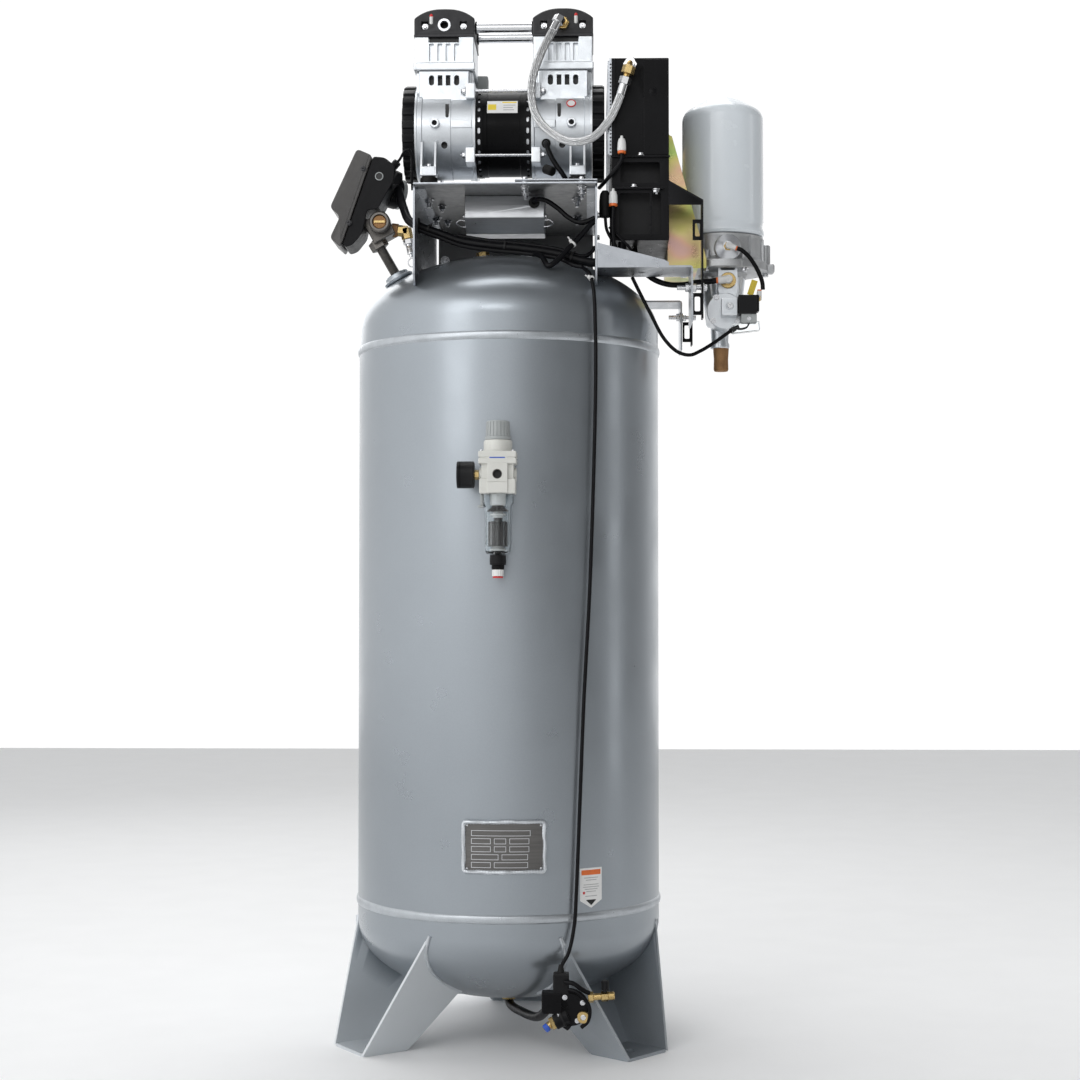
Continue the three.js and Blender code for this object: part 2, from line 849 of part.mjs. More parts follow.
// Lower frame: an open box under the shroud with a hanging strip at each end.
function hanger(y0, y1) {
  return join(
    prism(
      [
        [265, 1404],
        [265, 1407],
        [STRIP_X + 1.5, 1374],
        [STRIP_X + 1.5, 1181],
        [STRIP_X - 1.5, 1181],
        [STRIP_X - 1.5, 1371.5],
      ],
      'y',
      y0,
      y1,
    ),
    box(STRIP_X - 16, STRIP_X, y0, y0 + 3, 1308, 1342),
    box(STRIP_X - 16.5, STRIP_X, y0, y0 + 3, 1186, 1222),
  );
}
add(
  'cooler_frame',
  cut(
    join(
      cut(
        box(174, 267, COOL_Y[0], COOL_Y[1], 1308, 1445.7),
        box(176.5, 264.5, COOL_Y[0] + 2.5, COOL_Y[1] - 2.5, 1310.5, 1443.2),
      ),
      hanger(COOL_Y[0], COOL_Y[0] + 24),
      hanger(COOL_Y[1] - 24, COOL_Y[1]),
    ),
    box(170, 180, COOL_Y[0] + 20, COOL_Y[1] - 20, 1325, 1430),
    box(186, 254, COOL_Y[0] - 2, COOL_Y[0] + 4, 1318, 1352),
    box(186, 254, COOL_Y[0] - 2, COOL_Y[0] + 4, 1366, 1384),
    box(STRIP_X - 12, STRIP_X - 4, COOL_Y[0] - 1, COOL_Y[0] + 4, 1314, 1336),
    box(STRIP_X - 13, STRIP_X - 4, COOL_Y[0] - 1, COOL_Y[0] + 4, 1192, 1216),
    box(STRIP_X - 12, STRIP_X - 4, COOL_Y[1] - 25, COOL_Y[1] - 20, 1314, 1336),
    box(STRIP_X - 13, STRIP_X - 4, COOL_Y[1] - 25, COOL_Y[1] - 20, 1192, 1216),
  ),
  BLACK,
  0.3,
  0.6,
);

// Arms: flat bar with a bent-down end and a gusset, bolted through to the hanging strips.
function arm(y0, y1, gussetY, boltY) {
  const x0 = X1 + GAP;
  const raw = join(
    box(x0, ARM_END_X, y0, y1, ARM_Z, ARM_Z + SHEET),
    box(x0, x0 + SHEET, y0, y1, ARM_Z, ARM_Z + 40),
    box(ARM_END_X - SHEET, ARM_END_X, y0 + 4, y1 - 4, 1172, ARM_Z + 1),
    prism(
      [
        [x0, ARM_Z + 1],
        [265, ARM_Z + 1],
        [265, ARM_Z + 8],
        [x0, ARM_Z + 40],
      ],
      'y',
      gussetY,
      gussetY + SHEET,
    ),
    rod(V(286, boltY, 1232), V(STRIP_X - 1.5 - GAP, boltY, 1232), 4, 12),
  );
  return cut(raw, turned(headSpace(), HIGH, UP, TANK_SIDES), loomHole);
}
add('arm_front', arm(Y0, Y0 + 96, Y0, COOL_Y[0] + 12), STEEL, 0.6, 0.4);
add('arm_rear', arm(Y1 - 86, Y1, Y1 - SHEET, COOL_Y[1] - 12), STEEL, 0.6, 0.4);

// ---------------------------------------------------------------- dryer
// Zinc-plated bracket on the side of the lower frame, with a shelf under the dryer base.
const SHELF_Z = 1275.1;
const gusset = [
  [268, SHELF_Z],
  [332, SHELF_Z],
  [332, 1292],
  [275, 1500],
  [268, 1500],
];
add(
  'dryer_bracket',
  cut(
    join(
      box(267.3, 270.3, -84, 84, SHELF_Z, 1500),
      prism(gusset, 'y', -84, -81.5),
      prism(gusset, 'y', 81.5, 84),
      box(268, 318, -84, 84, SHELF_Z, SHELF_Z + 2.5),
    ),
  ),
  0xc7bb6a,
  0.7,
  0.4,
);
const dz = (z) => V(DRYER.x, DRYER.y, z);
add(
  'dryer_cartridge',
  turned(
    [
      [20, 0],
      [62, 0],
      [69.5, 8],
      [67.5, 20],
      [69, 26],
      [69, 208],
      [56, 230],
      [22, 239],
      [0, 245],
      [0, 241],
      [54, 226],
      [65, 206],
      [65, 6],
      [20, 6],
      [20, 0],
    ],
    dz(1338),
    UP,
    32,
  ),
  0xeef0f0,
  0.1,
  0.3,
);
add(
  'dryer_base',
  join(
    turned(
      [
        [0, 0],
        [40, 0],
        [40, 8],
        [76, 8.6],
        [76, 24],
        [68, 28],
        [68, 67.7],
        [0, 67.7],
      ],
      dz(1270),
      UP,
      32,
    ),
    box(DRYER.x + 62, DRYER.x + 87, -14, 14, 1279, 1328),
    rod(V(DRYER.x + 3, -74, 1312), V(DRYER.x + 3, -60, 1312), 21.5, 24),
  ),
  0xb4b6b6,
  0.6,
  0.5,
);
add(
  'purge_valve',
  join(
    rod(dz(1190), dz(1269.7), 28, 20, 38),
    rod(V(DRYER.x, -62, 1208), V(DRYER.x, -8, 1208), 32, 24),
    rod(V(DRYER.x + 4, -60, 1252), V(DRYER.x + 4, 0, 1252), 17, 16),
    rod(V(DRYER.x - 6, -4, 1150), V(DRYER.x - 6, -4, 1200), 17, 16),
    rod(V(DRYER.x - 4, -4, 1112), V(DRYER.x - 4, -4, 1151), 12, 16, 13.5),
    box(DRYER.x - 6, DRYER.x + 21, -90, -55, 1194, 1225),
  ),
  0xb4b6b6,
  0.6,
  0.5,
);
add(
  'solenoid_coil',
  join(
    box(DRYER.x + 21.3, DRYER.x + 54, -92, -62.5, 1197, 1230),
    box(DRYER.x + 22, DRYER.x + 56, -90, -63, 1170, 1193.5),
    box(DRYER.x + 26, DRYER.x + 50, -88, -64, 1192, 1198),
  ),
  BLACK,
  0.1,
  0.5,
);

// ---------------------------------------------------------------- pressure switch
// The manifold block sits on a pipe nipple that leans with the tank head.
const BLOCK = V(-214, -60, 1346); // middle of the manifold block
const SAFE_TOP = V(-168, -60, 1330);
const SAFE_DIR = V(0.2, 0, -0.98).normalize();
const safe = (d) => along(SAFE_TOP, SAFE_DIR, d);
const block = (grow) =>
  box(-20 - grow, 20 + grow, -22 - grow, 22 + grow, -20 - grow, 22 + grow)
    .rotateY(-0.5)
    .translate(BLOCK.x, BLOCK.y, BLOCK.z);
add(
  'switch_manifold',
  join(
    rod(along(SWITCH_FOOT, SWITCH_UP, -14), along(SWITCH_FOOT, SWITCH_UP, 76), 8.5, 16),
    rod(along(SWITCH_FOOT, SWITCH_UP, 62), along(SWITCH_FOOT, SWITCH_UP, 80), 15, 6),
    block(0),
    rod(V(-212, -100, 1353), V(-212, -70, 1353), 18, 20),
    rod(V(-200, -60, 1346), V(-170, -60, 1343), 9, 6),
    rod(along(SAFE_TOP, SAFE_DIR, -20), SAFE_TOP, 9, 6),
  ),
  0x6c6a66,
  0.8,
  0.45,
);
const SWITCH_Y = [-104, -22];
const baseOutline = [
  [-222.5, 1462],
  [-203, 1460],
  [-186, 1446],
  [-188, 1420],
  [-200, 1400],
  [-214, 1374],
  [-232, 1372],
  [-240, 1334],
  [-256, 1314],
  [-268.5, 1310],
  [-273, 1316],
];
add(
  'switch_base',
  cut(
    join(
      prism(baseOutline, 'y', SWITCH_Y[0] + 4, SWITCH_Y[1] - 4),
      rod(V(-214, -30, 1420), V(-190, -14, 1416), 27, 20),
    ),
    block(GAP),
    rod(V(-212, -104, 1353), V(-212, -60, 1353), 18 + GAP, 20),
  ),
  0x222224,
  0.1,
  0.6,
);
const coverOutline = [
  [-249, 1474],
  [-223, 1462.6],
  [-273.4, 1316.4],
  [-277, 1310],
  [-294, 1325],
  [-277, 1361],
  [-294, 1376],
];
add('switch_cover', prism(coverOutline, 'y', SWITCH_Y[0], SWITCH_Y[1]), 0x2a2a2c, 0.1, 0.6);

add(
  'safety_valve',
  join(
    rod(safe(0.3), safe(10), 8, 6),
    rod(safe(9), safe(24), 6.5, 12),
    rod(safe(23), safe(31), 3.5, 10),
  ),
  STEEL,
  0.8,
  0.3,
);
add(
  'safety_ring',
  sleeve(V(safe(40).x, -61.5, safe(40).z), V(safe(40).x, -58.5, safe(40).z), 6.2, 8.6, 16),
  STEEL,
  0.8,
  0.3,
);

// ---------------------------------------------------------------- automatic drain
add(
  'auto_drain',
  join(
    cord(
      [
        [0, 0, 67],
        [0, 0, 50],
        [3, -9, 43],
        [26, -70, 42],
        [54, -150, 52],
        [72, -210, 78],
        [84, -240, 92],
      ],
      7.5,
      8,
      14,
    ),
    rod(V(108, -264, 88), V(108, -236, 88), 28, 20),
    box(79, 106, -262, -238, 104, 142),
    box(62, 94, -264, -236, 80, 113),
    rod(V(128, -248, 103), V(176, -246, 106), 8, 6),
    rod(V(161, -247, 104), V(161, -247, 130), 5, 10),
    rod(V(80, -256, 74), V(70, -262, 52), 6, 6),
    rod(V(127, -262, 76), V(127, -270, 76), 8.5, 6),
  ),
  BLACK,
  0.2,
  0.5,
);

// ---------------------------------------------------------------- hoses and cables
const hoseEnd = COOL_Y[0] - 4 - GAP;
add(
  'cooler_hose',
  cord(
    [
      [93, -60.4, PORT_Z],
      [93, -78, PORT_Z],
      [86, -92, 1688],
      [77, -100, 1670],
      [58, -106, 1632],
      [44, -110, 1590],
      [42, -116, 1556],
      [50, -124, 1522],
      [74, -134, 1492],
      [106, -144, 1474],
      [140, -156, 1476],
      [168, -172, 1500],
      [186, -178, 1536],
      [198, -180, 1574],
      [203, -178, 1592],
      [204, -171, 1596],
      [204, hoseEnd, 1596],
    ],
    6.4,
    8,
    36,
  ),
  STEEL,
  0.7,
  0.4,
);
add(
  'wiring_loom',
  cord(
    [
      [-183, -70, 1412],
      [-172, -92, 1376],
      [-160, -118, 1350],
      [-145, -130, 1339],
      [-110, -132, 1326],
      [-75, -134, 1313],
      [-25, -140, 1304],
      [24, -146, 1298],
      [87, -154, 1287],
      [130, -160, 1274],
      [150, -160, 1272],
      [176, -158, 1279],
      [190, -150, 1294],
      [191, -148, 1306.2],
    ],
    7.5,
    8,
    26,
  ),
  RUBBER,
  0.1,
  0.6,
);
add(
  'drain_cable',
  cord(
    [
      [126, -176, 1262],
      [138, -200, 1246],
      [144, -214, 1220],
      [147, -218, 1150],
      [147.5, -217.5, 1100],
      [146, -218.5, 1000],
      [138, -223.5, 750],
      [128, -229, 560],
      [122, -233, 408],
      [116, -236, 260],
      [113, -238, 214],
      [104, -247, 172],
      [94, -250, 154],
      [92, -250, 142.6],
    ],
    3,
    8,
    32,
  ),
  RUBBER,
  0.1,
  0.6,
);
add(
  'solenoid_cable',
  cord(
    [
      [208, -112, 1255.6],
      [212, -108, 1248],
      [219, -106, 1234],
      [238, -108, 1196],
      [261, -106, 1154],
      [283, -104, 1133],
      [303, -102, 1128],
      [320, -96, 1135],
      [345, -86, 1151],
      [368, -79, 1168],
      [378, -77, 1175],
      [385.6, -76, 1178.6],
    ],
    3,
    8,
    26,
  ),
  RUBBER,
  0.1,
  0.6,
);

export default group;
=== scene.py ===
"""Upright air compressor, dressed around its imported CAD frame.

Every shape is laid out in millimetres from the tank's axis at floor level, as the
CAD is, and turned into metres when its object is made.
"""
import math
import random

import bmesh
import bpy
from mathutils import Matrix, Vector, noise


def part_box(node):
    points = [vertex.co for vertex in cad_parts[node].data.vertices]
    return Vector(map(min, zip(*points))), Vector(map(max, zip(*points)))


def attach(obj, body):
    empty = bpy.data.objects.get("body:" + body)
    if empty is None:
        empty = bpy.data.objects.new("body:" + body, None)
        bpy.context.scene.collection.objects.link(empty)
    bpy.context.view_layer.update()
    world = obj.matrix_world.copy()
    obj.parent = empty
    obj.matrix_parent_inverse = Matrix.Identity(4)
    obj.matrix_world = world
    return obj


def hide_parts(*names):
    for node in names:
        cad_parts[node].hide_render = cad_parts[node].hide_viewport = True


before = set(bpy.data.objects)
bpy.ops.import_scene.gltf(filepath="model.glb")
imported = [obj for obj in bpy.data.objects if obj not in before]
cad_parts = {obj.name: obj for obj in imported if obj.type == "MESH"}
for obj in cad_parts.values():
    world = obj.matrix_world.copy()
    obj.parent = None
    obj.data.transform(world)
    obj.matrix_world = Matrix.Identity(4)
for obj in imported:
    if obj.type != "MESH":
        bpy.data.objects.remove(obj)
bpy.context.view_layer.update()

MM = 0.001
ROOT = "frame"
X, Y, Z = Vector((1, 0, 0)), Vector((0, 1, 0)), Vector((0, 0, 1))
TAU = 2 * math.pi
rng = random.Random(7)

head_lo, head_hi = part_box("tank_head_bottom")
AXIS = Vector(((head_lo.x + head_hi.x) / 2, (head_lo.y + head_hi.y) / 2, 0))


def span(node):
    """x0, x1, y0, y1, z0, z1 of a CAD node in millimetres from the tank axis."""
    lo, hi = (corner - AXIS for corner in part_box(node))
    return [value / MM for pair in zip(lo, hi) for value in pair]


# ------------------------------------------------------------------ shells
# A shell is a pair: vertices in millimetres, and faces as lists of vertex numbers.
def lathe(profile, base=(0, 0, 0), axis=Z, sides=48, shape=None):
    """Solid of revolution of [radius, height] pairs about a line through base.

    A profile starts and ends on the line or closes on itself. shape(angle, height)
    scales the radius.
    """
    base = Vector(base)
    spin = Z.rotation_difference(Vector(axis).normalized())
    closed = profile[0] == profile[-1] and profile[0][0] > 0
    verts, rows = [], []
    for radius, height in profile[:-1] if closed else profile:
        count = sides if radius > 0 else 1
        rows.append(list(range(len(verts), len(verts) + count)))
        for i in range(count):
            angle = TAU * i / sides
            r = radius * (shape(angle, height) if shape else 1)
            point = Vector((r * math.cos(angle), r * math.sin(angle), height))
            verts.append(base + spin @ point)
    if closed:
        rows.append(rows[0])
    faces = []
    for low, high in zip(rows, rows[1:]):
        for i in range(sides):
            j = (i + 1) % sides
            ring = [low[i % len(low)], low[j % len(low)]]
            ring += [high[j % len(high)], high[i % len(high)]]
            face = [v for k, v in enumerate(ring) if v not in ring[:k]]
            if len(face) > 2:
                faces.append(face)
    return verts, faces


def rod(start, end, radius, sides=32, chamfer=0.0, radius2=None):
    """Round bar between two points, with chamfered ends."""
    start, end = Vector(start), Vector(end)
    length = (end - start).length
    r2 = radius if radius2 is None else radius2
    c = min(chamfer, length / 3)
    if c <= 0:
        profile = [[0, 0], [radius, 0], [r2, length], [0, length]]
    else:
        profile = [[0, 0], [radius - c, 0], [radius, c], [r2, length - c]]
        profile += [[r2 - c, length], [0, length]]
    return lathe(profile, start, end - start, sides)


def ring(start, end, inner, outer, sides=48, chamfer=0.4):
    """Round sleeve between two points."""
    start, end = Vector(start), Vector(end)
    n, c = (end - start).length, chamfer
    profile = [[inner, 0], [outer - c, 0], [outer, c], [outer, n - c]]
    profile += [[outer - c, n], [inner, n], [inner, 0]]
    return lathe(profile, start, end - start, sides)


def hexagon(start, end, across, chamfer=1.0):
    """Hexagonal bar between two points, with the turned corners of a nut."""
    start, end = Vector(start), Vector(end)
    length = (end - start).length
    corner = across / math.sqrt(3)
    c = min(chamfer, length / 4)
    profile = [[0, 0], [corner - c, 0], [corner, c * 0.6], [corner, length - c * 0.6]]
    profile += [[corner - c, length], [0, length]]
    return lathe(profile, start, end - start, 6)


def block(x0, x1, y0, y1, z0, z1):
    """Box between two corners."""
    verts = [Vector((x, y, z)) for x in (x0, x1) for y in (y0, y1) for z in (z0, z1)]
    faces = [[0, 1, 3, 2], [4, 6, 7, 5], [0, 4, 5, 1], [2, 3, 7, 6]]
    return verts, faces + [[0, 2, 6, 4], [1, 5, 7, 3]]


def walls(verts):
    """Shell over two matching outlines, the second after the first in verts."""
    n = len(verts) // 2
    faces = [list(range(n))[::-1], list(range(n, 2 * n))]
    faces += [[i, (i + 1) % n, n + (i + 1) % n, n + i] for i in range(n)]
    return verts, faces


def skin(verts, loop, closed=False):
    """Shell over rows of points; loop is the order of a row's points round its outline."""
    size = len(loop)
    rows = len(verts) // size
    faces = []
    for row in range(rows if closed else rows - 1):
        a, b = size * row, size * ((row + 1) % rows)
        for p, q in zip(loop, loop[1:] + loop[:1]):
            faces.append([a + p, a + q, b + q, b + p])
    if not closed:
        faces += [loop[::-1], [size * (rows - 1) + p for p in loop]]
    return verts, faces


def circle(center, u, v, radius, count):
    """Points round a centre in the plane of the unit vectors u and v."""
    angles = [TAU * i / count for i in range(count)]
    return [center + radius * (math.cos(a) * u + math.sin(a) * v) for a in angles]


def prism(outline, axis, start, end):
    """Outline of [u, v] pairs pushed along an axis: u, v are y, z or x, z or x, y."""
    place = {
        "x": lambda u, v, w: Vector((w, u, v)), "y": lambda u, v, w: Vector((u, w, v)),
        "z": lambda u, v, w: Vector((u, v, w)),
    }[axis]
    return walls([place(u, v, w) for w in (start, end) for u, v in outline])


def rounded(outline, radius, steps=5):
    """The outline with its corners turned into arcs, as far as its edges allow."""
    points = [Vector(p) for p in outline]
    result = []
    for i, p in enumerate(points):
        a = points[i - 1] - p
        b = points[(i + 1) % len(points)] - p
        reach = min(radius, 0.45 * a.length, 0.45 * b.length)
        start, end = p + a.normalized() * reach, p + b.normalized() * reach
        for k in range(steps + 1):
            t = k / steps
            result.append((1 - t) ** 2 * start + 2 * t * (1 - t) * p + t * t * end)
    return [[q.x, q.y] for q in result]


def slot(width, height, steps=8):
    """Outline of a slot with round ends, about the origin, longer side up."""
    r = width / 2
    points = []
    for sign, start in ((1, 0.0), (-1, math.pi)):
        for k in range(steps + 1):
            a = start + math.pi * k / steps
            points.append([r * math.cos(a), sign * (height / 2 - r) + r * math.sin(a)])
    return points


def shifted(outline, du, dv):
    """The outline moved in its plane."""
    return [[u + du, v + dv] for u, v in outline]


def smooth(points, step=4.0):
    """Points every step millimetres or so on a smooth curve through the given ones."""
    p = [Vector(q) for q in points]
    p = [2 * p[0] - p[1]] + p + [2 * p[-1] - p[-2]]
    result = []
    for i in range(1, len(p) - 2):
        t = [0.0]
        for k in range(3):
            t.append(t[-1] + max((p[i + k] - p[i + k - 1]).length, 1e-6) ** 0.5)
        count = max(1, round((p[i + 1] - p[i]).length / step))
        for n in range(count):
            s = t[1] + (t[2] - t[1]) * n / count
            a = [p[i - 1 + k].lerp(p[i + k], (s - t[k]) / (t[k + 1] - t[k])) for k in range(3)]
            b = [a[k].lerp(a[k + 1], (s - t[k]) / (t[k + 2] - t[k])) for k in range(2)]
            result.append(b[0].lerp(b[1], (s - t[1]) / (t[2] - t[1])))
    return result + [p[-2]]


def sweep(path, radius, sides=16, shape=None, closed=False):
    """Round tube along a path. shape(distance, angle) is added to its radius."""
    count = len(path)
    tangents = []
    for i in range(count):
        before = path[i - 1] if closed or i else path[i]
        after = path[(i + 1) % count] if closed or i < count - 1 else path[i]
        tangents.append((after - before).normalized())
    side = tangents[0].orthogonal().normalized()
    verts, distance = [], 0.0
    for i, point in enumerate(path):
        if i:
            side = tangents[i - 1].rotation_difference(tangents[i]) @ side
            distance += (point - path[i - 1]).length
        up = tangents[i].cross(side)
        for k in range(sides):
            angle = TAU * k / sides
            r = radius + (shape(distance, angle) if shape else 0)
            verts.append(point + r * (math.cos(angle) * side + math.sin(angle) * up))
    return skin(verts, list(range(sides)), closed)


def moved(shell, matrix):
    """The shell carried by a matrix."""
    return [matrix @ v for v in shell[0]], shell[1]


def turned(center, angle, letter):
    """Turn about the axis of that letter, then a move to the centre."""
    return Matrix.Translation(center) @ Matrix.Rotation(angle, 4, letter)


def together(*shells):
    """Several shells as one."""
    verts, faces = [], []
    for v, f in shells:
        faces += [[i + len(verts) for i in face] for face in f]
        verts += v
    return verts, faces


def to_bmesh(shell):
    """The shell as an editable mesh with its faces pointing outward."""
    bm = bmesh.new()
    made = [bm.verts.new(v) for v in shell[0]]
    for face in shell[1]:
        bm.faces.new([made[i] for i in face])
    bmesh.ops.recalc_face_normals(bm, faces=bm.faces)
    return bm


def from_bmesh(bm):
    """The shell of an editable mesh, which is freed."""
    bm.verts.index_update()
    shell = [v.co.copy() for v in bm.verts], [[v.index for v in f.verts] for f in bm.faces]
    bm.free()
    return shell


def bevelled(shell, width, segments=2, angle=28):
    """The shell with its sharp edges rounded."""
    bm = to_bmesh(shell)
    edges = [
        e
        for e in bm.edges if len(e.link_faces) == 2 and e.calc_face_angle(0) > math.radians(angle)
    ]
    bmesh.ops.bevel(
        bm, geom=edges, offset=width, segments=segments, profile=0.6, affect="EDGES",
        clamp_overlap=True,
    )
    return from_bmesh(bm)


def brick(x0, x1, y0, y1, z0, z1, width, segments=2):
    """Box between two corners, with rounded edges."""
    return bevelled(block(x0, x1, y0, y1, z0, z1), width, segments)


def temporary(shell):
    """An object holding the shell for a boolean."""
    bm = to_bmesh(shell)
    mesh = bpy.data.meshes.new("tool")
    bm.to_mesh(mesh)
    bm.free()
    obj = bpy.data.objects.new("tool", mesh)
    bpy.context.scene.collection.objects.link(obj)
    return obj


def combine(body, operation, tools):
    """The body after a boolean with each of the tools."""
    objects = [temporary(shell) for shell in (body, *tools)]
    for tool in objects[1:]:
        modifier = objects[0].modifiers.new("b", "BOOLEAN")
        modifier.operation = operation
        modifier.solver = "MANIFOLD"
        modifier.object = tool
    bpy.context.view_layer.update()
    result = objects[0].evaluated_get(bpy.context.evaluated_depsgraph_get())
    mesh = bpy.data.meshes.new_from_object(result)
    shell = [v.co.copy() for v in mesh.vertices], [list(p.vertices) for p in mesh.polygons]
    for obj in objects:
        data = obj.data
        bpy.data.objects.remove(obj)
        bpy.data.meshes.remove(data)
    bpy.data.meshes.remove(mesh)
    return shell


def cut(body, *tools):
    """The body with the tools taken out."""
    return combine(body, "DIFFERENCE", tools)


def join(body, *others):
    """Several closed shells fused into one."""
    return combine(body, "UNION", others)


def make(name, parts, body=ROOT, nodes=(), sharp=34):
    """One object from (material, shell) pairs, riding on a body, standing for nodes."""
    mesh = bpy.data.meshes.new(name)
    bm = bmesh.new()
    slots = []
    for material, (verts, faces) in parts:
        if material.name not in slots:
            slots.append(material.name)
            mesh.materials.append(material)
        index = slots.index(material.name)
        made = [bm.verts.new(v * MM + AXIS) for v in verts]
        fresh = [bm.faces.new([made[i] for i in face]) for face in faces]
        for face in fresh:
            face.material_index = index
            face.smooth = True
        bmesh.ops.recalc_face_normals(bm, faces=fresh)
    bm.to_mesh(mesh)
    bm.free()
    mesh.set_sharp_from_angle(angle=math.radians(sharp))
    obj = bpy.data.objects.new(name, mesh)
    bpy.context.scene.collection.objects.link(obj)
    weighted = obj.modifiers.new("normals", "WEIGHTED_NORMAL")
    weighted.keep_sharp = True
    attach(obj, body)
    if nodes:
        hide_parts(*nodes)
    return obj


# --------------------------------------------------------------- materials
def ramp(nodes, links, source, low, high, low_value, high_value):
    """Map a 0 to 1 signal between two points onto two values."""
    node = nodes.new("ShaderNodeMapRange")
    node.inputs["From Min"].default_value = low
    node.inputs["From Max"].default_value = high
    node.inputs["To Min"].default_value = low_value
    node.inputs["To Max"].default_value = high_value
    links.new(source, node.inputs["Value"])
    return node.outputs["Result"]


def mix(nodes, links, factor, a, b):
    """Colour between a and b, each a colour or a socket."""
    node = nodes.new("ShaderNodeMix")
    node.data_type = "RGBA"
    for socket, value in ((node.inputs[6], a), (node.inputs[7], b)):
        if isinstance(value, tuple):
            socket.default_value = (*value, 1)
        else:
            links.new(value, socket)
    links.new(factor, node.inputs[0])
    return node.outputs[2]


def cloud(nodes, links, coords, scale, detail=3.0, stretch=None, offset=0.0):
    """Noise signal at a scale in repeats per metre."""
    mapping = nodes.new("ShaderNodeMapping")
    mapping.inputs["Scale"].default_value = stretch or (1, 1, 1)
    mapping.inputs["Location"].default_value = (offset, 2 * offset, 3 * offset)
    links.new(coords, mapping.inputs["Vector"])
    node = nodes.new("ShaderNodeTexNoise")
    node.inputs["Scale"].default_value = scale
    node.inputs["Detail"].default_value = detail
    links.new(mapping.outputs["Vector"], node.inputs["Vector"])
    return node.outputs["Fac"]


def tint(color, factor):
    """The colour scaled, with no part above one."""
    return tuple(min(1.0, c * factor) for c in color)


def material(
    name, color, rough, metal=0.0, mottle=0.12, mottle_scale=9.0, grain=0.15, grain_scale=900.0,
    grain_depth=0.00006, wear_and_highlight=0.0, wear_and_highlight_colour=None, dust=0.0, streak=None, coat=0.0, shine=0.5, extra=None,
):
    """Shader with mottled colour, uneven gloss, grain, lighter sharp edges for wear (on the legs also a
    painted highlight) and settled dust.
    """
    made = bpy.data.materials.new(name)
    made.use_nodes = True
    nodes, links = made.node_tree.nodes, made.node_tree.links
    shader = nodes["Principled BSDF"]
    coords = nodes.new("ShaderNodeTexCoord").outputs["Object"]
    broad = cloud(nodes, links, coords, mottle_scale, 4, streak, rng.random())
    fine = cloud(nodes, links, coords, grain_scale, 2, streak, rng.random())
    spread = ramp(nodes, links, broad, 0.3, 0.7, 0, 1)
    tone = mix(nodes, links, spread, tint(color, 1 - mottle), tint(color, 1 + mottle))
    speck = ramp(nodes, links, fine, 0.35, 0.65, 0, grain)
    tone = mix(nodes, links, speck, tone, tint(color, 0.55))
    geometry = nodes.new("ShaderNodeNewGeometry")
    # Lighter colour on sharp edges: real wear, and on the legs also a painted highlight along the
    # chamfers.
    if wear_and_highlight:
        edge = ramp(nodes, links, geometry.outputs["Pointiness"], 0.52, 0.6, 0, wear_and_highlight)
        tone = mix(nodes, links, edge, tone, wear_and_highlight_colour or tint(color, 1.6))
    if dust:
        split = nodes.new("ShaderNodeSeparateXYZ")
        links.new(geometry.outputs["Normal"], split.inputs["Vector"])
        up = ramp(nodes, links, split.outputs["Z"], 0.5, 1.0, 0, dust)
        tone = mix(nodes, links, up, tone, (0.55, 0.54, 0.52))
    if extra:
        tone = extra(nodes, links, coords, tone)
    links.new(tone, shader.inputs["Base Color"])
    blotch = cloud(nodes, links, coords, mottle_scale * 4, 5, None, rng.random())
    gloss = ramp(nodes, links, blotch, 0.25, 0.75, max(0.02, rough - 0.06), rough + 0.08)
    links.new(gloss, shader.inputs["Roughness"])
    shader.inputs["Metallic"].default_value = metal
    shader.inputs["Specular IOR Level"].default_value = shine
    shader.inputs["Coat Weight"].default_value = coat
    shader.inputs["Coat Roughness"].default_value = 0.12
    bump = nodes.new("ShaderNodeBump")
    bump.inputs["Strength"].default_value = 1.0
    bump.inputs["Distance"].default_value = grain_depth
    links.new(fine, bump.inputs["Height"])
    links.new(bump.outputs["Normal"], shader.inputs["Normal"])
    made["shader"] = shader.name
    return made


def clear(name, color, rough):
    """See-through plastic with faint moulding haze."""
    made = material(name, color, rough, mottle=0.03, grain=0.02, grain_depth=0.00002)
    shader = made.node_tree.nodes["Principled BSDF"]
    shader.inputs["Transmission Weight"].default_value = 1.0
    shader.inputs["IOR"].default_value = 1.3
    return made


def spangle(nodes, links, coords, tone):
    """Crystal patches of zinc coating."""
    cells = nodes.new("ShaderNodeTexVoronoi")
    cells.inputs["Scale"].default_value = 110
    links.new(coords, cells.inputs["Vector"])
    split = nodes.new("ShaderNodeSeparateColor")
    links.new(cells.outputs["Color"], split.inputs["Color"])
    return mix(
        nodes, links, ramp(nodes, links, split.outputs["Red"], 0, 1, 0, 0.1), tone, (0.7, 0.72, 0.75),
    )


def rainbow(nodes, links, coords, tone):
    """Drifting green, gold and pink of yellow chromate over zinc."""
    drift = cloud(nodes, links, coords, 9, 2, (1, 1, 1.6), 3.1)
    bands = nodes.new("ShaderNodeValToRGB")
    stops = bands.color_ramp.elements
    stops[0].position, stops[0].color = 0.34, (0.34, 0.5, 0.14, 1)
    stops[1].position, stops[1].color = 0.68, (0.6, 0.36, 0.4, 1)
    for position, color in (
        (0.43, (0.56, 0.52, 0.16, 1)), (0.51, (0.64, 0.52, 0.24, 1)), (0.59, (0.68, 0.4, 0.3, 1)),
    ):
        stops.new(position).color = color
    links.new(drift, bands.inputs["Fac"])
    node = nodes.new("ShaderNodeMix")
    node.data_type = "RGBA"
    node.inputs[0].default_value = 0.85
    links.new(tone, node.inputs[6])
    links.new(bands.outputs["Color"], node.inputs[7])
    return node.outputs[2]


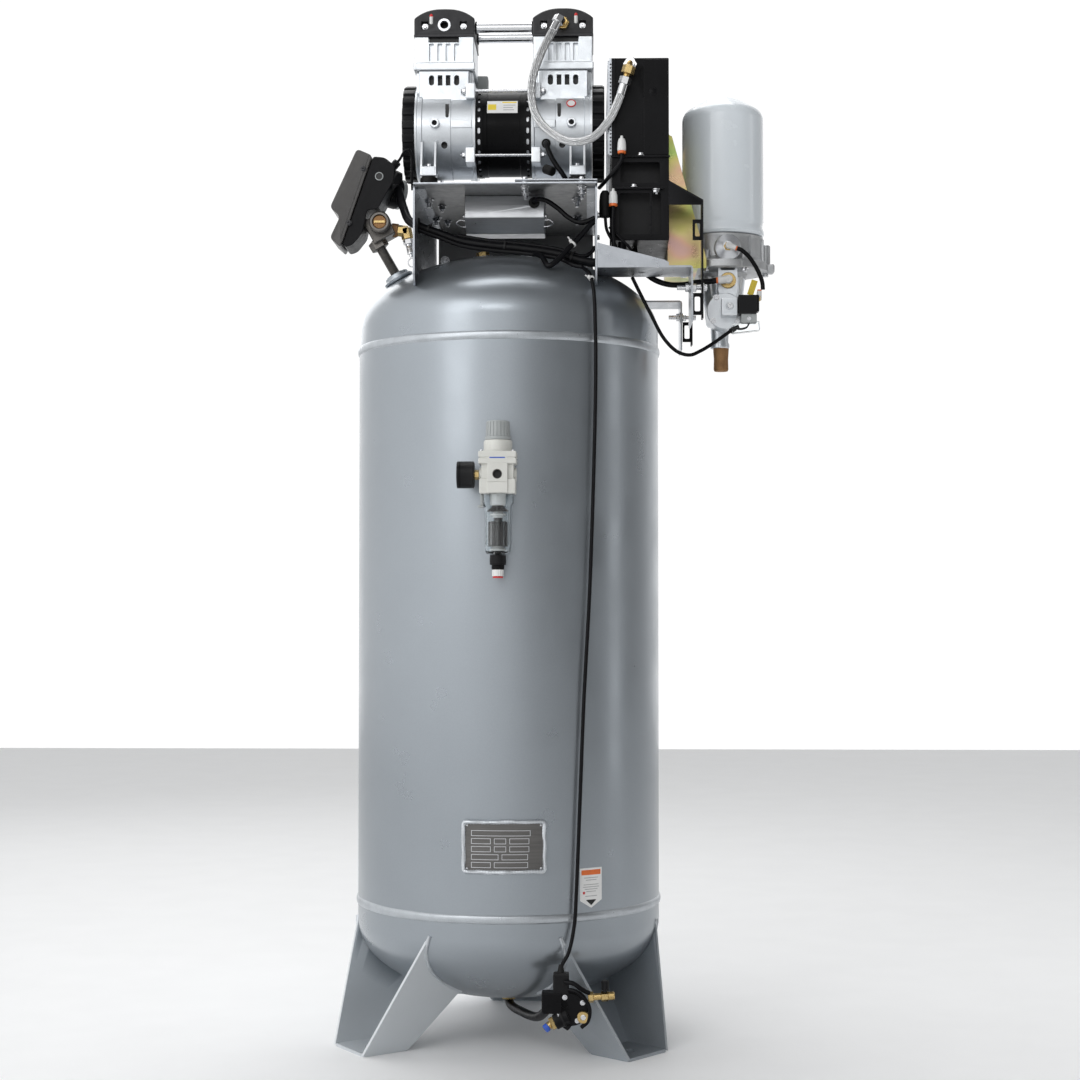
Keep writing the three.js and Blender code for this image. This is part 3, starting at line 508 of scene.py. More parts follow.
SILVER = material(
    "silver_paint", (0.33, 0.36, 0.39), 0.31, 0.78, mottle=0.03, mottle_scale=3, grain=0.07,
    grain_scale=520, grain_depth=0.00002, coat=0.25,
)
# Light worn edges: partly real wear on the paint, partly a painted highlight along the chamfers.
LEG_PAINT = material(
    "leg_paint", (0.34, 0.37, 0.4), 0.36, 0.62, mottle=0.04, mottle_scale=5, grain=0.14,
    grain_scale=520, grain_depth=0.00003, wear_and_highlight=0.6, wear_and_highlight_colour=(0.85, 0.88, 0.9),
)
# Weld beads lighter than the paint around them: a painted highlight for the light the rippled beads
# catch.
HIGHLIT_SEAM = material(
    "bright_weld_painted_highlight", (0.62, 0.65, 0.68), 0.34, 0.75, mottle=0.1, mottle_scale=60, grain=0.2,
    grain_scale=900, grain_depth=0.00012,
)
HIGHLIT_WELD = material(
    "weld_painted_highlight", (0.5, 0.53, 0.56), 0.32, 0.75, mottle=0.08, mottle_scale=40, grain=0.2,
    grain_scale=700, grain_depth=0.0001,
)
CAST = material(
    "cast_aluminium", (0.66, 0.69, 0.72), 0.34, 0.88, mottle=0.08, mottle_scale=22, grain=0.22,
    grain_scale=1100, grain_depth=0.00009, wear_and_highlight=0.35, wear_and_highlight_colour=(0.85, 0.86, 0.87),
)
BLACK_PAINT = material(
    "black_metal", (0.006, 0.006, 0.0065), 0.3, mottle=0.3, mottle_scale=14, grain=0.1,
    grain_depth=0.00005, wear_and_highlight=0.25, wear_and_highlight_colour=(0.05, 0.05, 0.055), dust=0.02, shine=0.06,
)
BLACK_CAST = material(
    "black_casting", (0.016, 0.016, 0.018), 0.42, 0.05, shine=0.35, mottle=0.25, mottle_scale=30,
    grain=0.3, grain_scale=700, grain_depth=0.00016, wear_and_highlight=0.3, wear_and_highlight_colour=(0.14, 0.14, 0.15), dust=0.06,
)
BLACK_PLASTIC = material(
    "black_plastic", (0.006, 0.006, 0.007), 0.36, shine=0.12, mottle=0.2, mottle_scale=25, grain=0.2,
    grain_scale=1400, grain_depth=0.00008, wear_and_highlight=0.2, wear_and_highlight_colour=(0.1, 0.1, 0.1), dust=0.05,
)
DARK_PLASTIC = material(
    "dark_plastic", (0.034, 0.031, 0.029), 0.36, shine=0.6, mottle=0.18, mottle_scale=20, grain=0.25,
    grain_scale=1200, grain_depth=0.0001, wear_and_highlight=0.25, wear_and_highlight_colour=(0.16, 0.15, 0.15), dust=0.08,
)
RUBBER = material(
    "rubber", (0.008, 0.008, 0.008), 0.6, shine=0.25, mottle=0.3, mottle_scale=30, grain=0.3,
    grain_scale=900, grain_depth=0.0001, dust=0.06,
)
CABLE = material(
    "cable_jacket", (0.004, 0.004, 0.005), 0.36, shine=0.14, mottle=0.25, mottle_scale=40, grain=0.15,
    grain_scale=1000, grain_depth=0.00006,
)
STEEL = material(
    "plated_steel", (0.4, 0.42, 0.45), 0.3, 0.9, mottle=0.08, mottle_scale=18, grain=0.15,
    grain_scale=900, grain_depth=0.00004, extra=spangle,
)
# Dark steel for the rear panel and the liner under the deck: painted shade where the deck overhang
# shadows them.
SHADE_PANEL = material(
    "panel_painted_shade", (0.15, 0.152, 0.155), 0.32, 0.85, mottle=0.06, mottle_scale=18, grain=0.15,
    grain_scale=900, grain_depth=0.00003,
)
BOLT = material(
    "bolt_steel", (0.6, 0.61, 0.63), 0.26, 1.0, mottle=0.1, mottle_scale=90, grain=0.12,
    grain_scale=1500, grain_depth=0.00003, wear_and_highlight=0.3, wear_and_highlight_colour=(0.85, 0.85, 0.86),
)
BARE = material(
    "bare_aluminium", (0.7, 0.715, 0.74), 0.33, 0.85, mottle=0.05, mottle_scale=14, grain=0.16,
    grain_scale=500, grain_depth=0.00003, streak=(0.08, 1, 1),
)
POLISHED = material(
    "polished_tube", (0.74, 0.75, 0.77), 0.14, 1.0, mottle=0.04, mottle_scale=30, grain=0.08,
    grain_scale=700, grain_depth=0.00001, streak=(0.05, 1, 1),
)
PISTON = material(
    "piston_alloy", (0.55, 0.55, 0.57), 0.35, 0.9, mottle=0.08, mottle_scale=40, grain=0.15,
    grain_scale=900, grain_depth=0.00004,
)
CHROME = material(
    "chrome", (0.72, 0.72, 0.73), 0.12, 1.0, mottle=0.05, mottle_scale=60, grain=0.06, grain_scale=1200,
    grain_depth=0.00001,
)
BRASS = material(
    "brass", (0.5, 0.35, 0.14), 0.26, 1.0, mottle=0.12, mottle_scale=70, grain=0.12, grain_scale=1200,
    grain_depth=0.00003, wear_and_highlight=0.3, wear_and_highlight_colour=(0.85, 0.66, 0.32),
)
BRONZE = material(
    "sintered_bronze", (0.36, 0.2, 0.09), 0.6, 0.7, mottle=0.15, mottle_scale=80, grain=0.5,
    grain_scale=1600, grain_depth=0.0003,
)
ZINC = material(
    "yellow_zinc", (0.5, 0.45, 0.2), 0.3, 0.85, mottle=0.08, mottle_scale=12, grain=0.12,
    grain_scale=1200, grain_depth=0.00003, extra=rainbow,
)
ENAMEL = material(
    "white_enamel", (0.74, 0.79, 0.83), 0.22, 0.0, mottle=0.02, mottle_scale=6, grain=0.03,
    grain_scale=500, grain_depth=0.00004, coat=0.4,
)
BASE_CAST = material(
    "base_casting", (0.5, 0.51, 0.52), 0.42, 0.75, mottle=0.1, mottle_scale=30, grain=0.3,
    grain_scale=700, grain_depth=0.00018, wear_and_highlight=0.3, wear_and_highlight_colour=(0.7, 0.7, 0.7),
)
IVORY = material(
    "ivory_casting", (0.66, 0.66, 0.62), 0.42, 0.05, mottle=0.04, mottle_scale=30, grain=0.08,
    grain_scale=1000, grain_depth=0.00007, wear_and_highlight=0.1,
)
GREY_PLASTIC = material(
    "grey_plastic", (0.36, 0.38, 0.38), 0.44, mottle=0.06, mottle_scale=30, grain=0.15,
    grain_scale=1400, grain_depth=0.00007, wear_and_highlight=0.15,
)
IRON = material(
    "dark_iron", (0.1, 0.094, 0.088), 0.38, 0.8, mottle=0.25, mottle_scale=60, grain=0.3,
    grain_scale=700, grain_depth=0.0001, wear_and_highlight=0.3, wear_and_highlight_colour=(0.3, 0.28, 0.26),
)
BRAID = material(
    "steel_braid", (0.52, 0.525, 0.53), 0.3, 0.95, mottle=0.1, mottle_scale=120, grain=0.35,
    grain_scale=1500, grain_depth=0.00006, wear_and_highlight=0.5, wear_and_highlight_colour=(0.85, 0.85, 0.85),
)
PLATE = material(
    "plate_metal", (0.16, 0.155, 0.15), 0.34, 0.85, mottle=0.14, mottle_scale=20, grain=0.35,
    grain_scale=420, grain_depth=0.00003, streak=(0.04, 0.04, 1),
)
PAPER = material(
    "white_label", (0.78, 0.78, 0.77), 0.4, mottle=0.03, mottle_scale=60, grain=0.04, grain_scale=1500,
    grain_depth=0.00002, coat=0.3,
)
WHITE_PLASTIC = material(
    "white_plastic", (0.74, 0.74, 0.73), 0.34, mottle=0.04, mottle_scale=60, grain=0.06,
    grain_scale=1300, grain_depth=0.00004,
)


def ink(name, color):
    """Printed or dyed colour on a small part; also the painted shade in holes, slots and gaps."""
    return material(name, color, 0.42, mottle=0.08, mottle_scale=80, grain=0.08, grain_depth=0.00003)


YELLOW = ink("yellow_ink", (0.78, 0.6, 0.05))
ORANGE = ink("orange_plastic", (0.75, 0.16, 0.03))
RED = ink("red_ink", (0.6, 0.03, 0.03))
BLUE = ink("blue_plastic", (0.03, 0.1, 0.5))
GREY_INK = ink("grey_ink", (0.3, 0.3, 0.31))
# Near-black: painted shade inside holes, slots, pockets and gaps, and the black print of the sticker's
# arrow.
SHADE_AND_INK = ink("painted_shade_and_black_ink", (0.006, 0.006, 0.006))
CLEAR = clear("clear_plastic", (0.93, 0.96, 0.97), 0.05)


# -------------------------------------------------------- camera and lights
def studio():
    """Pale floor, soft lights and the camera in front of the machine."""
    world = bpy.data.worlds.new("studio")
    world.use_nodes = True
    nodes, links = world.node_tree.nodes, world.node_tree.links
    around = nodes.new("ShaderNodeTexGradient")
    around.gradient_type = "RADIAL"
    direction = nodes.new("ShaderNodeTexCoord").outputs["Generated"]
    links.new(direction, around.inputs["Vector"])
    # Room brightness around the machine: left, front, right, back, left again.
    room = nodes.new("ShaderNodeValToRGB")
    links.new(around.outputs["Fac"], room.inputs["Fac"])
    levels = (
        (0, 0.84), (0.1, 0.98), (0.2, 0.88), (0.25, 0.76), (0.3, 0.36), (0.37, 0.15), (0.45, 0.09),
        (0.52, 0.12), (0.6, 0.34), (0.67, 0.8), (0.7, 0.84), (0.8, 0.84), (0.88, 0.66), (1, 0.84),
    )
    stops = room.color_ramp.elements
    for place, level in levels[1:-1]:
        stops.new(place)
    for stop, (place, level) in zip(stops, levels):
        stop.position = place
        stop.color = (level, level * 1.005, level * 1.01, 1)
    height = nodes.new("ShaderNodeSeparateXYZ")
    links.new(direction, height.inputs["Vector"])
    ceiling = ramp(nodes, links, height.outputs["Z"], 0.66, 0.92, 0, 0.85)
    glow = mix(nodes, links, ceiling, room.outputs["Color"], (0.07, 0.072, 0.075))
    lighting = nodes["Background"]
    links.new(glow, lighting.inputs["Color"])
    lighting.inputs["Strength"].default_value = 1.36
    backdrop = nodes.new("ShaderNodeBackground")
    backdrop.inputs["Color"].default_value = (1, 1, 1, 1)
    backdrop.inputs["Strength"].default_value = 1.05
    seen = nodes.new("ShaderNodeMixShader")
    links.new(nodes.new("ShaderNodeLightPath").outputs["Is Camera Ray"], seen.inputs["Fac"])
    links.new(lighting.outputs["Background"], seen.inputs[1])
    links.new(backdrop.outputs["Background"], seen.inputs[2])
    links.new(seen.outputs["Shader"], nodes["World Output"].inputs["Surface"])
    bpy.context.scene.world = world
    bpy.context.scene.view_settings.view_transform = "Standard"

    bm = bmesh.new()
    bmesh.ops.create_grid(bm, x_segments=1, y_segments=1, size=6)
    mesh = bpy.data.meshes.new("floor")
    bm.to_mesh(mesh)
    bm.free()
    floor = bpy.data.objects.new("floor", mesh)
    mesh.materials.append(material("floor_paper", (0.93, 0.933, 0.935), 0.7, mottle=0.01, grain=0.02))
    bpy.context.scene.collection.objects.link(floor)

    def softbox(name, place, target, width, height, watts):
        light = bpy.data.lights.new(name, "AREA")
        light.shape = "RECTANGLE"
        light.size, light.size_y, light.energy = width, height, watts
        obj = bpy.data.objects.new(name, light)
        obj.location = place
        aim = Vector(target) - Vector(place)
        obj.rotation_euler = aim.to_track_quat("-Z", "Y").to_euler()
        bpy.context.scene.collection.objects.link(obj)

    softbox("key", (-1.7, -2.3, 2.2), (0, 0, 0.9), 1.1, 2.2, 12)
    softbox("fill", (-0.5, -3.3, 2.7), (0, 0, 1.2), 1.4, 0.7, 8)
    softbox("rim", (2.6, -0.2, 1.3), (0, 0, 0.9), 0.5, 2.2, 4)
    softbox("top", (-0.2, 0.7, 3.4), (0, 0, 1.0), 1.8, 1.8, 34)
    softbox("back", (-1.6, 2.6, 2.4), (0, 0, 1.0), 1.6, 1.8, 10)

    data = bpy.data.cameras.new("front")
    data.lens, data.sensor_width = 64.6, 36
    data.clip_start, data.clip_end = 0.05, 30
    camera = bpy.data.objects.new("front", data)
    camera.location = (0.059, -3.2867, 0.730)
    camera.rotation_euler = (math.radians(91.66), 0, math.radians(1.478))
    bpy.context.scene.collection.objects.link(camera)
    bpy.context.scene.camera = camera


studio()


# ------------------------------------------------------------- small parts
def screw(base, axis, radius, washer=True, socket=True):
    """Cap screw head standing on a washer, with a hexagon socket."""
    base, axis = Vector(base), Vector(axis).normalized()
    shells = []
    lift = 0
    if washer:
        lift = 0.22 * radius
        shells.append(ring(base, base + axis * lift, radius * 0.4, radius * 1.45, 24, 0.1))
    top = base + axis * (lift + radius * 0.95)
    head = rod(base + axis * lift * 0.98, top, radius, 24, 0.12 * radius)
    if socket:
        deep = top - axis * radius * 0.6
        head = cut(head, hexagon(deep, top + axis, radius * 0.95, 0))
    return together(*shells, head)


def nut(base, axis, across, stud=0.0):
    """Hexagon nut with a washer and the end of its stud."""
    base, axis = Vector(base), Vector(axis).normalized()
    thick = across * 0.5
    shells = [
        ring(base, base + axis * 1.4, across * 0.2, across * 0.78, 24, 0.2),
        hexagon(base + axis * 1.3, base + axis * (1.3 + thick), across, across * 0.08),
    ]
    if stud:
        end = base + axis * (1.3 + thick + stud)
        thread = lambda d, a: 0.28 * math.sin(TAU * d / 1.25 + a)
        path = smooth([base + axis * 0.5, (base + end) / 2, end], 0.4)
        shells.append(sweep(path, across * 0.29, 12, thread))
    return together(*shells)


def push_fitting(base, axis, out, size=7.0):
    """Push-in elbow: brass thread, white body, orange collar. Returns parts and its mouth."""
    base, axis, out = Vector(base), Vector(axis).normalized(), Vector(out).normalized()
    knee = base + axis * size * 1.5
    mouth = knee + out * size * 2.4
    body = join(
        rod(base + axis * size * 0.55, knee + axis * size * 0.85, size * 0.9, 28, 0.8),
        rod(knee, mouth, size * 0.95, 28, 0.8, size * 0.8),
    )
    parts = [
        (BRASS, hexagon(base, base + axis * size * 0.6, size * 1.9, 0.6)), (WHITE_PLASTIC, body),
        (ORANGE, ring(mouth - out * 0.3, mouth + out * size * 0.4, size * 0.4, size * 0.72, 28)),
    ]
    return parts, mouth


def cable(path, radius, sides=14):
    """Round cable through the given points."""
    return sweep(smooth(path, 3.5), radius, sides)


def tie(center, axis, radius):
    """Cable tie with its lock and cut tail."""
    center, axis = Vector(center), Vector(axis).normalized()
    half = axis * 1.7
    band = ring(center - half, center + half, radius, radius + 1.3, 28, 0.3)
    side = axis.orthogonal().normalized()
    lock = brick(-2.6, 2.6, -2.4, 2.4, -2.2, 2.2, 0.6)
    tail = brick(-1.2, 1.2, -0.6, 0.6, 0, 9, 0.3)
    turn = Z.rotation_difference(side).to_matrix().to_4x4()
    place = Matrix.Translation(center + side * (radius + 2))
    return together(band, moved(lock, place @ turn), moved(tail, place @ turn))


def weld(path, radius, sides=9, closed=False):
    """Weld bead with its ripples."""
    seed = rng.random() * 50

    def ripple(d, angle):
        wander = noise.noise(Vector((d * 0.05 + seed, math.cos(angle), math.sin(angle))))
        return 0.28 * math.sin(TAU * d / 4.6) + 0.9 * wander

    return sweep(path, radius, sides, ripple, closed)


# -------------------------------------------------------------------- tank
head_x0, head_x1 = span("tank_head_bottom")[:2]
TANK_R = (head_x1 - head_x0) / 2 - 4
WALL = 3
LOW_WELD, HIGH_WELD = span("tank_shell")[4:]
FLANGE = 35
RISE = TANK_R / 2
REG_X, REG_PORT_Z = -4.5, 918
SWITCH_UP = Vector((-0.5, 0, 0.866)).normalized()
SWITCH_FOOT = Vector((-183, -60, 1262))


def on_tank(x, z, radius):
    """Point in front of the tank at a sideways place, on a cylinder of that radius."""
    angle = x / TANK_R
    return Vector((radius * math.sin(angle), -radius * math.cos(angle), z))


def dished(weld_z, way, grow=0.0):
    """Outer profile of a dished head from its weld line to the middle."""
    profile = [[TANK_R + grow, weld_z], [TANK_R + grow, weld_z + way * FLANGE]]
    for i in range(1, 28):
        t = i / 28 * math.pi / 2
        height = FLANGE + (RISE + grow) * math.sin(t)
        profile.append([(TANK_R + grow) * math.cos(t), weld_z + way * height])
    return profile + [[0, weld_z + way * (FLANGE + RISE + grow)]]


def head_shell(weld_z, way):
    """Dished head of even wall thickness."""
    outer = dished(weld_z, way)
    inner = dished(weld_z, way, -WALL)
    return lathe(inner[::-1] + outer, sides=160)


def girth_weld(z, seed):
    """Ring of weld between shell and head: a low hump with ripples and a wandering edge."""
    rows, around = 9, 900
    verts = []
    for i in range(around):
        angle = TAU * i / around
        wander = noise.noise(Vector((3 * math.cos(angle), 3 * math.sin(angle), seed)))
        ripple = 0.16 * math.sin(angle * 330)
        for k in range(rows):
            t = k / (rows - 1) * 2 - 1
            hump = 3.1 * (1 - t * t) ** 0.55 + (ripple if abs(t) < 0.95 else 0)
            r = TANK_R - 0.6 + hump + 0.25 * wander
            height = z + 7.4 * t + 0.9 * wander * (1 - abs(t) * 0.2)
            verts.append(Vector((r * math.cos(angle), r * math.sin(angle), height)))
    return skin(verts, list(range(rows)), closed=True)


def tank():
    """Barrel with its regulator port and seam, dome, bottom and the two ring welds."""
    shell = lathe(
        [
            [TANK_R - WALL, LOW_WELD], [TANK_R, LOW_WELD], [TANK_R, HIGH_WELD],
            [TANK_R - WALL, HIGH_WELD], [TANK_R - WALL, LOW_WELD],
        ],
        sides=160,
    )
    port = ring((REG_X, -262, REG_PORT_Z), (REG_X, -249, REG_PORT_Z), 10.3, 20, 48, 1.2)
    around = circle(Vector((REG_X, -253.6, REG_PORT_Z)), X, Z, 20.5, 60)
    seam_angle = math.radians(64)
    seam = [
        Vector((TANK_R * math.cos(seam_angle), TANK_R * math.sin(seam_angle), z))
        for z in range(round(LOW_WELD) + 4, round(HIGH_WELD) - 3, 2)
    ]
    # The welds are lighter than the tank's paint: painted highlight on the beads.
    make(
        "tank_barrel",
        [(SILVER, shell), (SILVER, port), (HIGHLIT_WELD, weld(around, 2.2, 8, True)), (HIGHLIT_WELD, weld(seam, 2.6))],
        nodes=["tank_shell"],
    )

    def pad(base, axis, radius, height):
        """Threaded boss with the weld round its foot."""
        base, axis = Vector(base), Vector(axis).normalized()
        side = axis.orthogonal().normalized()
        foot = circle(base, side, axis.cross(side), radius + 1, 48)
        return [
            (SILVER, rod(base - axis * 4, base + axis * height, radius, 48, 1.2, radius - 2)),
            (HIGHLIT_WELD, weld(foot, 2.6, 8, True)),
        ]

    make(
        "tank_dome",
        [
            (SILVER, head_shell(HIGH_WELD, 1)), *pad(SWITCH_FOOT, SWITCH_UP, 22.5, 9),
            *pad((-42, -40, 1301), (-0.08, -0.08, 1), 15, 3),
            (BRASS, hexagon((-42, -40, 1302), (-43, -41, 1311), 19, 1)),
            (BRASS, ring((-43, -41, 1310.8), (-43.2, -41.2, 1312), 4, 8, 24)),
            *pad((36, -40, 1301), (0.08, -0.08, 1), 13, 2.5),
            (BOLT, hexagon((36, -40, 1302), (36.6, -40.6, 1310), 17, 1)),
        ],
        nodes=["tank_head_top"],
    )
    make(
        "tank_bottom",
        [(SILVER, head_shell(LOW_WELD, -1)), *pad((0, 0, 61), (0, 0, -1), 17, 5)],
        nodes=["tank_head_bottom"],
    )
    # The girth welds are lighter than the tank's paint: painted highlight on the beads.
    make("weld_low", [(HIGHLIT_WELD, girth_weld(LOW_WELD, 1.5))])
    make("weld_high", [(HIGHLIT_WELD, girth_weld(HIGH_WELD, 8.5))])


tank()


# -------------------------------------------------------------------- legs
LEG_SHEET = 5
FOOT_HALF, FOOT_INNER, FOOT_OUTER = 48.5, 221, 305
FLARE = 0.365
KNEE_Z, KNEE_Y, TIP_Z, TIP_Y = 115, 128, 197, 222


def slab(corners, thickness):
    """Flat plate whose middle plane holds the corners."""
    c = [Vector(p) for p in corners]
    n = (c[1] - c[0]).cross(c[2] - c[0]).normalized() * thickness / 2
    return walls([p - n for p in c] + [p + n for p in c])


def leg(name, degrees):
    """Folded leg trimmed to the bottom head, with its welds; degrees is its bearing."""
    side = lambda z: FOOT_HALF - LEG_SHEET / 2 + FLARE * z
    low = LEG_SHEET / 2

    def wing(s):
        return slab(
            [
                (s * side(low), FOOT_OUTER, low), (s * side(low), FOOT_INNER + low, low),
                (s * side(KNEE_Z), KNEE_Y, KNEE_Z), (s * side(TIP_Z - 6), TIP_Y - 9, TIP_Z - 4),
                (s * side(TIP_Z), TIP_Y, TIP_Z), (s * side(TIP_Z - 8), TIP_Y + 5, TIP_Z - 10),
            ],
            LEG_SHEET,
        )

    web = slab(
        [
            (side(low), FOOT_INNER + low, low), (-side(low), FOOT_INNER + low, low),
            (-side(KNEE_Z), KNEE_Y, KNEE_Z), (side(KNEE_Z), KNEE_Y, KNEE_Z),
        ],
        LEG_SHEET,
    )
    outline = [[-FOOT_HALF, FOOT_INNER], [FOOT_HALF, FOOT_INNER]]
    outline += [[FOOT_HALF, FOOT_OUTER], [-FOOT_HALF, FOOT_OUTER]]
    foot = prism(rounded(outline, 10), "z", 0, LEG_SHEET)
    turn = Matrix.Rotation(math.radians(degrees - 90), 4, "Z")
    tank_space = lathe(
        [[0, LOW_WELD], [TANK_R + 0.4, LOW_WELD], *dished(LOW_WELD, -1, 0.4)[1:]], sides=96,
    )
    shell = cut(join(foot, wing(1), wing(-1), web), rod((0, 267, -1), (0, 267, 9), 7.5, 32))
    shell = cut(moved(shell, turn), tank_space)
    fillets = []
    for s in (1, -1):
        path = []
        for i in range(41):
            z = 92 + (TIP_Z - 3 - 92) * i / 40
            t = math.asin(min(1, max(0, (LOW_WELD - FLANGE - z) / RISE)))
            r = TANK_R * math.cos(t)
            x = s * (side(z) + LEG_SHEET * 0.62)
            path.append(Vector((x, math.sqrt(r * r - x * x) + 0.6, z)))
        fillets.append(weld(path, 3.0))
    path = []
    for i in range(41):
        x = (i / 20 - 1) * 78
        z = 86.3 + 5.7 * (x / 80) ** 2
        t = math.asin((LOW_WELD - FLANGE - z + 3) / RISE)
        r = TANK_R * math.cos(t)
        path.append(Vector((x, math.sqrt(max(0, r * r - x * x)) - 5, z - 3)))
    fillets.append(weld(path, 3.2))
    # The fillet welds are lighter than the leg paint: painted highlight on the beads.
    make(
        "stand_" + name,
        [(LEG_PAINT, bevelled(shell, 1.1, 3, 40)), (HIGHLIT_SEAM, moved(together(*fillets), turn))],
        nodes=[name],
    )


for place, degrees in (("left", 215), ("right", 319), ("rear", 88)):
    leg("leg_" + place, degrees)


# -------------------------------------------------------- plate and sticker
def curved_sheet(x0, x1, bottom, top, r0, r1, columns=24):
    """Sheet on the tank's front between two sideways places; bottom and top take x."""
    verts = []
    for i in range(columns + 1):
        x = x0 + (x1 - x0) * i / columns
        for r in (r0, r1):
            for z in (bottom(x), top(x)):
                verts.append(on_tank(x, z, r))
    return skin(verts, [0, 1, 3, 2])


def strip(x0, x1, z0, z1, r0, r1, columns=10):
    """Rectangular sheet on the tank's front."""
    return curved_sheet(x0, x1, lambda x: z0, lambda x: z1, r0, r1, columns)


def labels():
    """Data plate in its welded rim, and the sticker beside it."""
    x0, x1, z0, z1 = -64, 70, 295, 380
    rim = 3.4
    corners = [(x0 + rim, z0 + rim), (x1 - rim, z0 + rim), (x1 - rim, z1 - rim), (x0 + rim, z1 - rim)]
    loop = rounded(corners, 6, 5)
    dense = []
    for i, (u, v) in enumerate(loop):
        nu, nv = loop[(i + 1) % len(loop)]
        n = max(1, round(math.hypot(nu - u, nv - v) / 1.5))
        for k in range(n):
            dense.append((u + (nu - u) * k / n, v + (nv - v) * k / n))
    path = []
    for u, v in dense:
        wobble = noise.noise(Vector((u * 0.06, v * 0.06, 2.2)))
        path.append(on_tank(u + 0.9 * wobble, v + 0.9 * wobble, TANK_R + 2.6 + 0.5 * wobble))
    # The welded rim is lighter than the paint around it: painted highlight on the bead.
    parts = [
        (HIGHLIT_SEAM, weld(path, 3.2, 10, True)),
        (PLATE, strip(x0 + 4, x1 - 4, z0 + 4, z1 - 4, TANK_R + 0.4, TANK_R + 2, 30)),
    ]
    top = TANK_R + 2.3
    for row, widths in enumerate(((92,), (30, 18, 30), (30, 18, 30), (42, 40), (30, 52))):
        left = x0 + 16
        level = z1 - 17 - row * 12.4
        for width in widths:
            cell = [(left, level - 8), (left + width, level - 8), (left + width, level), (left, level)]
            for (u, v), (p, q) in zip(cell, cell[1:] + cell[:1]):
                a, b = min(u, p) - 0.35, max(u, p) + 0.35
                c, d = min(v, q) - 0.35, max(v, q) + 0.35
                parts.append((BARE, strip(a, b, c, d, TANK_R + 1.8, top, 6 if b - a > 2 else 1)))
            left += width + 6
    for u in (x0 + 9, x1 - 9):
        for v in (z0 + 9, z1 - 9):
            a, b = on_tank(u, v, TANK_R + 1.5), on_tank(u, v, TANK_R + 3.4)
            parts.append((BOLT, rod(a, b, 1.8, 16, 0.7)))
    make("data_panel", parts, nodes=["data_plate"])

    x0, x1, z0, z1 = 127, 168, 237, 300
    tip = lambda x: z0 + 12 * abs(x - (x0 + x1) / 2) / ((x1 - x0) / 2)
    flat = TANK_R + 0.35
    parts = [(PAPER, curved_sheet(x0, x1, tip, lambda x: z1, TANK_R - 0.3, flat))]
    parts.append((ORANGE, strip(x0 + 2.5, x1 - 2.5, z1 - 11, z1 - 3, flat - 0.1, flat + 0.06)))
    for row, width in enumerate((26, 20, 0, 28, 30, 24, 18, 0, 22)):
        if width:
            level = z1 - 15 - row * 3.6
            middle = (x0 + x1) / 2
            bar = strip(
                middle - width / 2, middle + width / 2, level - 0.9, level, flat - 0.1, flat + 0.05,
            )
            parts.append((GREY_INK, bar))
    middle = (x0 + x1) / 2
    parts.append((RED, strip(x0 + 5, x0 + 9, z0 + 22, z0 + 26, flat - 0.1, flat + 0.06, 2)))
    point = lambda x: z0 + 4 + 8 * abs(x - middle) / 9
    arrow = curved_sheet(middle - 9, middle + 9, point, lambda x: z0 + 13, flat - 0.1, flat + 0.06, 8)
    parts.append((SHADE_AND_INK, arrow))
    make("tank_sticker", parts)


labels()


# -------------------------------------------------------- filter-regulator
REG = Vector((REG_X, -300, 0))
COCK_LOW, BOWL_LOW, BODY_LOW, KNOB_LOW = 758, 794.3, 888, 972.3


def reg_block(x0, x1, y0, y1, z0, z1, width=1.5):
    """Rounded box placed from the regulator's axis."""
    shell = block(REG.x + x0, REG.x + x1, REG.y + y0, REG.y + y1, z0, z1)
    return bevelled(shell, width, 3)


